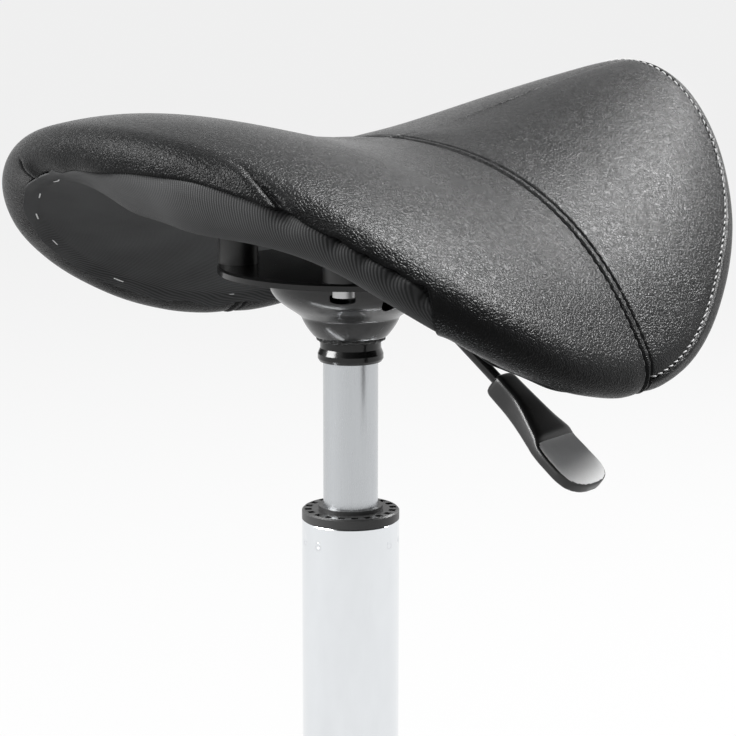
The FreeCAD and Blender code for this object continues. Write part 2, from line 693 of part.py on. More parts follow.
def lift_parts():
    """Cylinder with its button and seal, and the rod with piston, bumper and clip."""
    top = "column_top + cone_end"
    piece("lift_cylinder", turned("cylinder_turned", [
        ("cylinder_bore", "cylinder_bottom"), ("cylinder_radius", "cylinder_bottom"),
        ("cylinder_radius", "column_top + cone_start"), ("cone_end_radius", top),
        ("button_radius + running_gap", top), ("button_radius + running_gap", f"{top} - 8"),
        ("cone_end_radius - 1.8", f"{top} - 8"), ("cylinder_bore", "column_top + cone_start")]))
    piece("valve_button", turned("button_turned", [
        ("0", f"{top} - button_depth"), ("button_radius", f"{top} - button_depth"),
        ("button_radius", f"{top} + button_rise - 0.6"), ("button_radius - 0.6", f"{top} + button_rise"),
        ("0", f"{top} + button_rise")]))
    piece("lift_seal", turned("seal_turned", [
        ("rod_radius + running_gap", "cylinder_bottom"), ("cylinder_bore", "cylinder_bottom"),
        ("cylinder_bore", "cylinder_bottom + seal_height"),
        ("rod_radius + running_gap", "cylinder_bottom + seal_height")]))
    shoulder = "column_bottom + column_floor + 2 * washer_thick + 2 * ball_radius + 0.06"
    groove = "column_bottom - 0.3"
    piece("lift_rod", turned("rod_turned", [
        ("0", "rod_bottom"), ("rod_radius", "rod_bottom"), ("rod_radius", f"{groove} - clip_thick"),
        ("clip_groove", f"{groove} - clip_thick"), ("clip_groove", groove), ("rod_radius", groove),
        ("rod_radius", shoulder), ("shoulder_radius", shoulder), ("shoulder_radius", f"{shoulder} + shoulder_height"),
        ("rod_radius", f"{shoulder} + shoulder_height"), ("rod_radius", "rod_top"), ("0", "rod_top")]))
    piece("rod_clip", cut("clip_open", turned("clip_turned", [
        ("clip_groove", f"{groove} - clip_thick"), ("clip_radius", f"{groove} - clip_thick"),
        ("clip_radius", groove), ("clip_groove", groove)]),
        box("clip_mouth", "20", "5", "10", y="-2.5", z=f"{groove} - 5")))
    piece("lift_piston", turned("piston_turned", [
        ("rod_radius", "rod_top - piston_height - 2"), ("cylinder_bore - running_gap", "rod_top - piston_height - 2"),
        ("cylinder_bore - running_gap", "rod_top - 8"), ("cylinder_bore - 1.5", "rod_top - 8"),
        ("cylinder_bore - 1.5", "rod_top - 6"), ("cylinder_bore - running_gap", "rod_top - 6"),
        ("cylinder_bore - running_gap", "rod_top - 2"), ("rod_radius", "rod_top - 2")]))
    piece("lift_bumper", turned("bumper_turned", [
        ("rod_radius", f"{shoulder} + shoulder_height"), ("bumper_radius", f"{shoulder} + shoulder_height"),
        ("bumper_radius", f"{shoulder} + shoulder_height + bumper_height"),
        ("rod_radius", f"{shoulder} + shoulder_height + bumper_height")]))
    bearing(shoulder)


def bearing(shoulder):
    """Two washers with balls between them, on the column's floor."""
    floor = "column_bottom + column_floor"
    lower = f"{floor} + 0.02"
    upper = f"{shoulder} - washer_thick"
    for node, low in (("bearing_washer_lower", lower), ("bearing_washer_upper", upper)):
        piece(node, turned(node + "_turned", [
            ("washer_bore", low), ("washer_radius", low), ("washer_radius", f"{low} + washer_thick"),
            ("washer_bore", f"{low} + washer_thick")]))
    balls = []
    count = int(size("ball_count"))
    for index in range(count):
        turn = f"{index} * 360 deg / ball_count"
        ball = doc.addObject("Part::Sphere", f"ball_{index}")
        bind(ball, Radius="ball_radius")
        balls.append(place(ball, x=f"ball_pitch * cos({turn})", y=f"ball_pitch * sin({turn})",
                           z=f"{lower} + washer_thick + ball_radius + 0.01"))
    piece("bearing_balls", fuse("ball_group", balls))


def column_parts():
    """The outer column, and the plastic guide whose collar shows on its top."""
    inside = "column_radius - column_wall"
    piece("lift_column", turned("column_turned", [
        ("rod_radius + 0.6", "column_bottom"), ("column_foot_radius", "column_bottom"),
        ("column_radius", "column_bottom + column_taper_length"), ("column_radius", "column_top"),
        (inside, "column_top"), (inside, "column_bottom + column_taper_length"),
        ("column_foot_radius - column_wall", "column_bottom + column_floor"),
        ("rod_radius + 0.6", "column_bottom + column_floor")]))
    collar = "column_top + collar_height"
    guide = turned("guide_turned", [
        ("guide_bore", "column_top - guide_length"), (inside, "column_top - guide_length"), (inside, "column_top"),
        ("column_radius", "column_top"), ("column_radius", f"{collar} - 0.8"), ("column_radius - 0.8", collar),
        ("collar_lip_radius", collar), ("collar_lip_radius", "column_top + collar_lip_height"),
        ("guide_bore", "column_top + collar_lip_height")])
    slots = []
    for index in range(int(size("collar_slot_count"))):
        turn = f"{index} * 360 deg / collar_slot_count"
        slots.append(box(f"collar_slot_{index}", "3.4", "3.6", "2.5",
                         x=f"20 * cos({turn}) + 1.8 * sin({turn})", y=f"20 * sin({turn}) - 1.8 * cos({turn})",
                         z=f"{collar} - 1.4", turn=turn))
    piece("guide_sleeve", cut("guide_slotted", guide, fuse("collar_slots", slots)))


def base_parts():
    """Hub and five hollow legs, each with its caster."""
    taper = "(column_radius - column_foot_radius) / column_taper_length"
    low = f"column_foot_radius + (hub_bottom - column_bottom) * {taper}"
    high = f"column_foot_radius + (hub_top - column_bottom) * {taper}"
    piece("base_hub", turned("hub_turned", [
        (low, "hub_bottom"), ("hub_radius - 2", "hub_bottom"), ("hub_radius", "hub_bottom + 2"),
        ("hub_radius", "hub_top - 5"), ("hub_radius - 4", "hub_top"), (high, "hub_top")]))
    for number in range(1, int(size("leg_count")) + 1):
        heading = f"{number - 1} * 360 / leg_count - 90"
        piece(f"base_leg_{number}", leg(number, heading))
        caster_parts(number, heading)


def leg(number, heading):
    """A pressed leg, open below, from the hub to its caster's socket."""
    shell = formed(f"leg_shell_{number}", leg_loft(0))
    room = formed(f"leg_room_{number}", leg_loft(size("leg_wall")))
    tip = cylinder(f"leg_tip_{number}", "leg_tip_width / 2 + 1", "leg_tip_high - leg_tip_low", x="leg_reach",
                   z="leg_tip_low")
    tip_room = cylinder(f"leg_tip_room_{number}", "leg_tip_width / 2 + 1 - leg_wall",
                        "leg_tip_high - leg_tip_low - leg_wall", x="leg_reach", z="leg_tip_low")
    boss = cylinder(f"leg_boss_{number}", "leg_boss_radius", "leg_tip_high - leg_tip_low", x="leg_reach",
                    z="leg_tip_low")
    bore = cylinder(f"leg_bore_{number}", "stem_radius", "stem_top + 0.5 - leg_tip_low", x="leg_reach",
                    z="leg_tip_low")
    hub_room = cylinder(f"leg_hub_room_{number}", "hub_radius", "200", z="0")
    hollow = cut(f"leg_hollow_{number}", fuse(f"leg_outer_{number}", [shell, tip]),
                 fuse(f"leg_inside_{number}", [room, tip_room, hub_room]))
    whole = cut(f"leg_bored_{number}", fuse(f"leg_bossed_{number}", [hollow, boss]), bore)
    return place(held(f"leg_turned_{number}", whole), turn=heading)


def leg_loft(wall):
    """The leg's volume along +X, or the room inside it, which runs out through its open underside."""
    sections = []
    root = (size("leg_root_width") / 2, size("leg_root_low"), size("leg_root_high"))
    tip = (size("leg_tip_width") / 2, size("leg_tip_low"), size("leg_tip_high"))
    for share in (0, 0.35, 0.7, 1):
        bow = share ** 0.8
        half, low, high = [a + (b - a) * bow for a, b in zip(root, tip)]
        half -= wall
        low -= 10 if wall else 0
        high -= wall
        x = 28 + (size("leg_reach") - 28) * share
        shoulder = 6
        points = [Vector(x, -half, low), Vector(x, -half, high - shoulder),
                  Vector(x, -half + shoulder * 0.3, high - shoulder * 0.3), Vector(x, -half + shoulder, high),
                  Vector(x, half - shoulder, high), Vector(x, half - shoulder * 0.3, high - shoulder * 0.3),
                  Vector(x, half, high - shoulder), Vector(x, half, low)]
        sections.append(arcs_and_lines(points, [2, 3, 2, 3, 2, 2]))
    return Part.makeLoft(sections, True, False)


def caster_parts(number, heading):
    """Stem, hood, axle and the pair of wheels of one caster, trailing away from its leg's line."""
    x = f"leg_reach * cos(({heading}) * 1 deg)"
    y = f"leg_reach * sin(({heading}) * 1 deg)"
    trail = f"({heading}) + caster_turn"
    under = "leg_tip_low - stem_collar_thick"
    piece(f"caster_{number}_stem", turned(f"stem_turned_{number}", [
        ("0", "stem_bottom"), ("stem_radius", "stem_bottom"), ("stem_radius", under),
        ("stem_collar_radius", under), ("stem_collar_radius", "leg_tip_low"), ("stem_radius", "leg_tip_low"),
        ("stem_radius", "stem_top - 1"), ("stem_radius - 1", "stem_top"), ("0", "stem_top")], x=x, y=y))
    piece(f"caster_{number}_hood", hood(number, x, y, trail))
    half = "wheel_inner_face + wheel_width"
    axle = side_rod(f"axle_{number}", "axle_radius", f"2 * ({half})")
    piece(f"caster_{number}_axle", standing(f"axle_set_{number}", axle, x, y, trail))
    wheels = []
    for side, start in (("left", f"-({half})"), ("right", "wheel_inner_face")):
        wheels.append(wheel(f"wheel_{number}_{side}", start, side))
    piece(f"caster_{number}_wheels", standing(f"wheels_set_{number}", fuse(f"wheels_{number}", wheels), x, y, trail))


def side_rod(name, radius, length, start=None):
    """A rod across the caster through its wheels' centre, from a start or balanced."""
    rod = cylinder(name, radius, length, x="caster_trail", y=start or f"-({length}) / 2", z="wheel_radius")
    rod.Placement.Rotation = FreeCAD.Rotation(Vector(1, 0, 0), -90)
    return rod


def wheel(name, start, side):
    """One wheel: a rim with a dished outer side."""
    disc = side_rod(name + "_disc", "wheel_radius", "wheel_width", start)
    dish_start = f"{start} - 1" if side == "left" else f"{start} + wheel_width - 2"
    dish = side_rod(name + "_dish", "wheel_radius - 5", "3", dish_start)
    bore = side_rod(name + "_bore", "axle_radius", "100")
    return cut(name, disc, fuse(name + "_rooms", [dish, bore]))


def hood(number, x, y, trail):
    """The hood over the wheels with its web and the boss that turns on the stem."""
    inside = "wheel_radius + hood_gap"
    width = "2 * (wheel_inner_face + wheel_width) + 1"
    fender = cut(f"fender_{number}", side_rod(f"fender_out_{number}", f"{inside} + hood_wall", width),
                 side_rod(f"fender_in_{number}", inside, "100"))
    fender_room = box(f"fender_room_{number}", "100", "100", "60", x="-30", y="-50", z="-28")
    web = side_rod(f"web_{number}", f"{inside} + 0.5", "hood_web")
    boss = cylinder(f"hood_boss_{number}", "hood_boss_radius", "leg_tip_low - stem_collar_thick - 0.3 - 30",
                    z="30")
    keep = cut(f"fender_top_{number}", fender, fender_room)
    web_low = box(f"web_room_{number}", "100", "100", "40", x="-30", y="-50", z="-22")
    solid = fuse(f"hood_solid_{number}", [keep, cut(f"web_top_{number}", web, web_low), boss])
    stem = cylinder(f"hood_stem_{number}", "stem_radius + running_gap", "60", z="stem_bottom - 0.5")
    axle = side_rod(f"hood_axle_{number}", "axle_radius + running_gap", "100")
    return standing(f"hood_set_{number}", cut(f"hood_bored_{number}", solid,
                                              fuse(f"hood_bores_{number}", [stem, axle])), x, y, trail)


def standing(name, target, x, y, trail):
    """Stand a caster piece, made about its own swivel axis, under its leg."""
    return place(held(name, target), x=x, y=y, turn=trail)


seat_parts()
seat_fixings()
seat_mechanism()
lever_parts()
lift_parts()
column_parts()
base_parts()
doc.recompute()

faults = [f"{thing.Name}: {thing.State}" for thing in doc.Objects
          if "Invalid" in thing.State or "Error" in thing.State]
for node, target in pieces.items():
    if target.Shape.isNull() or not target.Shape.isValid() or not target.Shape.Solids:
        faults.append(f"{node}: bad shape")
if faults:
    raise SystemExit("\n".join(faults))

os.makedirs("parts", exist_ok=True)
for node, target in pieces.items():
    target.Shape.exportStep(f"parts/{node}.step")
print(len(pieces), "sub-parts written")
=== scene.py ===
"""Looks of a saddle stool: leather seat on its fabric-covered shell, lift mechanism, column and star base."""

import json
import math

import bmesh
import bpy
import numpy as np
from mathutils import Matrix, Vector


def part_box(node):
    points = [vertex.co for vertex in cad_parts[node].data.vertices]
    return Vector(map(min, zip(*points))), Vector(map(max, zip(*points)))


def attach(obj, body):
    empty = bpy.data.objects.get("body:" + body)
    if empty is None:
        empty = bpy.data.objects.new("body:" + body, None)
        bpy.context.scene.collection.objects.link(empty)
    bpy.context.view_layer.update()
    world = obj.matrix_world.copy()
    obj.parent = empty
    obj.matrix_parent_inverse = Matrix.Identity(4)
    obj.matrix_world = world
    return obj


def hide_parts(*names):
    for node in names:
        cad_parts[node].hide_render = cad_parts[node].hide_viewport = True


bl_info = {
    "name": "Saddle stool",
    "version": (1, 0, 0),
    "blender": (4, 5, 0),
    "location": "3D View > Sidebar > Stool",
    "description": "Builds a saddle stool piece by piece around its packed frame",
    "category": "Add Mesh",
}

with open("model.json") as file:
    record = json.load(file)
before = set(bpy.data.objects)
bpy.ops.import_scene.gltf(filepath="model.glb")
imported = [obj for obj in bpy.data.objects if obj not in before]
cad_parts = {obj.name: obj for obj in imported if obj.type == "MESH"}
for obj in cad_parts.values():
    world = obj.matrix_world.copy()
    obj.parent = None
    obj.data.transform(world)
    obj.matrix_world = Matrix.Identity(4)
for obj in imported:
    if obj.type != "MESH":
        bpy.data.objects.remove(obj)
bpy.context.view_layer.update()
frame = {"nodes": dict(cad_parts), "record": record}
MM = 0.001
COLUMN_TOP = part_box("lift_column")[1].z / MM


# Shader graphs


class Shade:
    """One socket of a graph; arithmetic on it adds Math nodes."""

    def __init__(self, graph, socket):
        self.graph = graph
        self.socket = socket

    def math(self, operation, *others):
        return self.graph.node("ShaderNodeMath", {"operation": operation}, dict(enumerate((self,) + others)))

    def __add__(self, other):
        return self.math("ADD", other)

    __radd__ = __add__

    def __mul__(self, other):
        return self.math("MULTIPLY", other)

    __rmul__ = __mul__

    def __sub__(self, other):
        return self.math("SUBTRACT", other)

    def __rsub__(self, other):
        return self.graph.node("ShaderNodeMath", {"operation": "SUBTRACT"}, {0: other, 1: self})

    def sine(self):
        return self.math("SINE")

    def clamped(self):
        return self.graph.node("ShaderNodeClamp", {}, {0: self})

    def over(self, low, high):
        """0 below low and 1 above high, smooth between."""
        return self.graph.node(
            "ShaderNodeMapRange", {"interpolation_type": "SMOOTHSTEP"}, {0: self, 1: low, 2: high})


class Graph:
    """The nodes of a material, or of the world, and the one way they are added."""

    def __init__(self, name, store="materials"):
        owners = getattr(bpy.data, store)
        self.owner = owners.get(name) or owners.new(name)
        self.owner.use_nodes = True
        self.tree = self.owner.node_tree
        self.tree.nodes.clear()

    def node(self, kind, settings=None, sockets=None, output=0):
        made = self.tree.nodes.new(kind)
        for key, value in (settings or {}).items():
            setattr(made, key, value)
        for key, value in (sockets or {}).items():
            target = made.inputs[key]
            if isinstance(value, Shade):
                self.tree.links.new(value.socket, target)
            elif hasattr(target.default_value, "__len__") and len(target.default_value) == 4:
                target.default_value = (*value, 1) if len(value) == 3 else value
            else:
                target.default_value = value
        return Shade(self, made.outputs[output]) if made.outputs else None

    def place(self):
        """Object coordinates in millimetres."""
        here = self.node("ShaderNodeTexCoord", output="Object")
        return self.vectors("SCALE", here, 1000.0, "Scale")

    def vectors(self, operation, one, other, socket=1):
        return self.node("ShaderNodeVectorMath", {"operation": operation}, {0: one, socket: other})

    def axes(self, vector):
        return [self.node("ShaderNodeSeparateXYZ", {}, {0: vector}, axis) for axis in range(3)]

    def noise(self, vector, size, detail=3.0, rough=0.5):
        return self.node("ShaderNodeTexNoise", {}, {
            "Vector": vector, "Scale": 1 / size, "Detail": detail, "Roughness": rough})

    def cells(self, vector, size, feature="F1"):
        return self.node("ShaderNodeTexVoronoi", {"feature": feature}, {"Vector": vector, "Scale": 1 / size})

    def bent(self, vector, size, amount):
        """A place pushed about by noise."""
        push = self.node(
            "ShaderNodeTexNoise", {}, {"Vector": vector, "Scale": 1 / size, "Detail": 2.0}, "Color")
        centred = self.vectors("SUBTRACT", push, (0.5, 0.5, 0.5))
        return self.vectors("ADD", vector, self.vectors("SCALE", centred, amount, "Scale"))

    def stretched(self, vector, factors):
        return self.vectors("MULTIPLY", vector, factors)

    def mix(self, share, one, other):
        return self.node("ShaderNodeMix", {"data_type": "RGBA"}, {0: share, 6: one, 7: other}, 2)

    def bump(self, height, depth, strength):
        return self.node(
            "ShaderNodeBump", {}, {"Height": height, "Distance": depth * MM, "Strength": strength})

    def seen_white(self):
        """1 for camera, glossy and transmission rays, which find the surroundings white."""
        rays = [self.node("ShaderNodeLightPath", {}, {}, ray) for ray in
                ("Is Camera Ray", "Is Glossy Ray", "Is Transmission Ray")]
        return (rays[0] + rays[1] + rays[2]).clamped()

    def finish(self, colour, roughness, normal, **extra):
        sockets = {"Base Color": colour, "Roughness": roughness, "Normal": normal}
        sockets.update({key.replace("_", " "): value for key, value in extra.items()})
        shader = self.node("ShaderNodeBsdfPrincipled", {}, sockets)
        self.node("ShaderNodeOutputMaterial", {}, {"Surface": shader})


def grey(level, tint=0.0):
    return (level * (1 - tint), level, level * (1 + tint))


def leather_finish(name, tone, smooth):
    """Black imitation leather: pebbled grain in soft wrinkles, finer creases in it, and uneven sheen."""
    graph = Graph(name)
    place = graph.place()
    drawn = graph.bent(graph.bent(place, 4.5, 2.4), 0.9, 0.5)
    pebble = graph.cells(drawn, 1.5, "DISTANCE_TO_EDGE").over(0.0, 0.3)
    fine = graph.noise(place, 0.5, 4.0, 0.6)
    wrinkle = graph.noise(graph.bent(place, 8.0, 5.0), 3.4, 4.0, 0.62)
    broad = graph.noise(place, 26.0, 3.0, 0.5)
    height = pebble * 0.6 + wrinkle * 0.9 + fine * 0.25
    tones = graph.mix(pebble * 0.5 + broad * 0.5, grey(tone * 0.6, 0.02), grey(tone * 1.35, 0.03))
    roughness = smooth - pebble * 0.05 + (broad - 0.5) * 0.14 + (wrinkle - 0.5) * 0.1
    graph.finish(tones, roughness, graph.bump(height, 0.42, 0.6), Specular_IOR_Level=0.055)


def ribbed_finish(name, tone):
    """Charcoal corded fabric: fore-and-aft ribs, the weft crossing them and loose fibre."""
    graph = Graph(name)
    place = graph.place()
    across = graph.axes(graph.bent(place, 14.0, 1.0))
    rib = (across[0] * (2 * math.pi / 1.15)).sine() * 0.5 + 0.5
    weft = ((across[1] + across[2]) * (2 * math.pi / 0.9)).sine() * 0.5 + 0.5
    fibre = graph.noise(place, 0.35, 3.0, 0.65)
    broad = graph.noise(place, 34.0, 2.0)
    thread = rib * (0.72 + weft * 0.28)
    tones = graph.mix((thread * 0.7 + fibre * 0.35 + (broad - 0.5) * 0.5).clamped(),
                      grey(tone * 0.35), grey(tone * 1.8, 0.015))
    graph.finish(tones, 0.86 - rib * 0.06, graph.bump(thread + fibre * 0.2, 0.25, 0.5),
                 Sheen_Weight=0.03, Sheen_Roughness=0.5, Specular_IOR_Level=0.1)


def enamel_finish(name, tone, gloss):
    """Black stoved enamel with a little orange peel and dust."""
    graph = Graph(name)
    place = graph.place()
    peel = graph.noise(place, 2.4, 2.0)
    dust = graph.noise(place, 0.5, 4.0, 0.7).over(0.62, 0.8)
    scuff = graph.noise(graph.stretched(place, (1.0, 1.0, 0.2)), 7.0, 4.0, 0.7)
    tones = graph.mix(dust * 0.25, grey(tone), grey(tone * 3.2))
    roughness = gloss + dust * 0.15 + (scuff - 0.5) * 0.12
    graph.finish(tones, roughness, graph.bump(peel, 0.05, 0.5), Coat_Weight=0.15,
                 Coat_Roughness=0.12, Specular_IOR_Level=0.3)


def plated_finish(name, tone, rough, lines, tint=0.0, depth=0.02):
    """Metal with fine lines along its height and faint smudges."""
    graph = Graph(name)
    place = graph.place()
    drawn = graph.noise(graph.stretched(place, (1.0, 1.0, 0.02)), 0.5, 4.0, 0.6)
    smudge = graph.noise(graph.stretched(place, (1.0, 1.0, 0.4)), 9.0, 3.0, 0.6)
    speck = graph.noise(place, 0.9, 3.0, 0.7).over(0.66, 0.78)
    tones = graph.mix((drawn * lines + smudge * 0.3 + speck * 0.15).clamped(), grey(tone, tint),
                      grey(tone * 0.8, tint))
    roughness = rough + (smudge - 0.5) * 0.1 + (drawn - 0.5) * lines * 0.2
    graph.finish(tones, roughness, graph.bump(drawn, depth, lines), Metallic=1.0)


def moulded_finish(name, tone, rough, grain=0.5, depth=0.05):
    """Moulded plastic with a spark-eroded grain."""
    graph = Graph(name)
    place = graph.place()
    fine = graph.noise(place, grain, 3.0, 0.6)
    broad = graph.noise(place, 14.0, 3.0)
    tones = graph.mix(fine * 0.5 + broad * 0.5, grey(tone * 0.75), grey(tone * 1.3))
    graph.finish(tones, rough + (broad - 0.5) * 0.15, graph.bump(fine, depth, 0.6))


def thread_finish(name, tone):
    """Twisted sewing thread."""
    graph = Graph(name)
    place = graph.place()
    across = graph.axes(place)
    twist = ((across[0] + across[1] + across[2] * 1.4) * (2 * math.pi / 0.55)).sine() * 0.5 + 0.5
    tones = graph.mix(twist, grey(tone * 0.55), grey(tone * 1.2))
    graph.finish(tones, 0.6, graph.bump(twist, 0.1, 0.7), Sheen_Weight=0.2)


def timber_finish(name):
    """Edge-glued plywood with its plies and open grain."""
    graph = Graph(name)
    place = graph.place()
    across = graph.axes(graph.bent(place, 30.0, 4.0))
    plies = (across[2] * (2 * math.pi / 2.8)).sine() * 0.5 + 0.5
    grain = graph.noise(graph.stretched(place, (1.0, 0.08, 1.0)), 1.6, 4.0, 0.6)
    tones = graph.mix(plies * 0.6 + grain * 0.4, (0.44, 0.29, 0.15), (0.68, 0.52, 0.33))
    graph.finish(tones, 0.6 + (grain - 0.5) * 0.2, graph.bump(grain, 0.1, 0.5))


def foam_finish(name):
    """Open-cell polyurethane foam."""
    graph = Graph(name)
    place = graph.place()
    pores = graph.cells(place, 1.1)
    tones = graph.mix(pores, (0.72, 0.68, 0.55), (0.5, 0.46, 0.34))
    graph.finish(tones, 0.95, graph.bump(pores, 0.4, 0.7))


# Seat form, in millimetres. The angle runs from the rear round the sitter's right, and `run` is the distance
# along the skin from the outermost line: negative over the top and positive underneath.

MIDDLE = -24.0
STATIONS = np.array([145.0, 75.0, 5.0, -65.0, -135.0, -205.0])
RIM = (169.5, 175.5, 166.0, 141.0, 141.0, 160.5, 183.0)
RIDGE = (184.5, 170.0, 152.7, 156.1, 176.0, 199.7)
FALL_60 = (6.5, 5.6, 5.7, 9.0, 16.4, 44.8)
FALL_120 = (29.2, 28.8, 32.1, 48.4, 80.9, 197.9)
EDGE_THICK = 26.0
CROWN_THICK = 42.3
SPACER_OUT = 40.0
SPACER_RADIUS = 12.0
# The fabric's least rise, how far it stands out over the leather's edge, and how far it goes in under it
FABRIC_REST = 0.3
FABRIC_LAP = 1.4
TUCK_DEPTH = 5.0
PUCKERS_ROUND = 26
SETTLING_STEPS = 1400
# Taken off where the stretched fabric and its swell join, so that the join is about 0 where both are 0
SOFT_JOIN = 1.39
# Distance of each row of stitches from the centre seam
SEAM_OFFSET = 2.7
ROLL_REAR = 13.5
ROLL_SIDE = 18.8
ROLL_FRONT = 17.0
ROLL_HALF = 30
COLUMNS = 721
ROWS_TOP = 240
ROWS_UNDER = 240
# Puckers of the leather's near edge: middle and half width in degrees, and depth as a share
EDGE_GAPS = ((33.0, 1.6, 1.0), (39.2, 0.8, 0.6), (42.6, 0.6, 0.45), (46.0, 0.8, 0.55), (49.6, 0.9, 0.9))
# Angle in degrees and distance inside the fabric's edge of each staple that shows
STAPLES_SEEN = (
    (-15.5, 6.3), (-29.5, 7.0), (-38.5, 4.4), (-48.5, 4.0), (-57.0, 7.4), (-66.0, 4.5), (-75.0, 9.0),
    (16.5, 3.0), (22.5, 3.2), (1.0, 3.6))
# The same for the regular staples along the sides that are out of sight
STAPLES_UNSEEN = tuple((along, 7.0) for along in (*range(66, 180, 12), *range(-176, -84, 12)))


def ease(value, low, high):
    """0 below low and 1 above high, smooth between."""
    share = np.clip((value - low) / (high - low), 0, 1)
    return share * share * (3 - 2 * share)


def bell(value, width):
    return np.exp(-(value / width) ** 2)


def cosine_through(values, angle):
    """The even periodic curve through values at equal steps from 0 to 180 degrees."""
    steps = len(values) - 1
    total = 0
    for order in range(steps + 1):
        share = sum((0.5 if index in (0, steps) else 1) * known * math.cos(order * index * math.pi / steps)
                    for index, known in enumerate(values))
        total = total + share * 2 / steps * (0.5 if order in (0, steps) else 1) * np.cos(order * angle)
    return total


def through_stations(values, y):
    """The smooth curve through values at the seat's stations."""
    total = 0
    for index, known in enumerate(values):
        term = known
        for other in range(len(values)):
            if other != index:
                term = term * (y - STATIONS[other]) / (STATIONS[index] - STATIONS[other])
        total = total + term
    return total


def underside(x, y):
    """Height of the seat's underside."""
    near = through_stations(FALL_60, y)
    far = through_stations(FALL_120, y)
    quartic = (far - 4 * near) / 12
    out = (x / 60) ** 2
    return COLUMN_TOP + through_stations(RIDGE, y) - (near - quartic) * out - quartic * out * out


def unit(vectors):
    return vectors / np.maximum(np.linalg.norm(vectors, axis=-1, keepdims=True), 1e-12)


def normal_at(x, y):
    across = underside(x + 0.5, y) - underside(x - 0.5, y)
    along = underside(x, y + 0.5) - underside(x, y - 0.5)
    return unit(np.stack([-across, -along, np.ones_like(across)], -1))


def rim_at(angle):
    radius = cosine_through(RIM, angle)
    x = -radius * np.sin(angle)
    y = MIDDLE + radius * np.cos(angle)
    return np.stack([x, y, underside(x, y)], -1)


def thickness(x, y):
    share = np.hypot(x, y - MIDDLE) / cosine_through(RIM, np.arctan2(-x, y - MIDDLE))
    return EDGE_THICK + (CROWN_THICK - EDGE_THICK) * (1 - np.minimum(share, 1) ** 2)


def lifted(x, y):
    """Points of the top skin over places in plan."""
    foot_x, foot_y = x, y
    for _ in range(8):
        rise = normal_at(foot_x, foot_y) * thickness(foot_x, foot_y)[..., None]
        foot_x = x - rise[..., 0]
        foot_y = y - rise[..., 1]
    return np.stack([x, y, underside(foot_x, foot_y) + rise[..., 2]], -1)


def lengths_along(points):
    """The distance along a curve to each of its points."""
    return np.r_[0, np.cumsum(np.linalg.norm(np.diff(points, axis=0), axis=1))]


def read_at(at, lengths, vectors):
    """What a curve's points carry, at distances along it."""
    return np.stack([np.interp(at, lengths, vectors[:, axis]) for axis in range(3)], -1)


def spread(points, count):
    """A curve's points at equal distances along it, and its length."""
    lengths = lengths_along(points)
    return read_at(np.linspace(0, lengths[-1], count), lengths, points), lengths[-1]


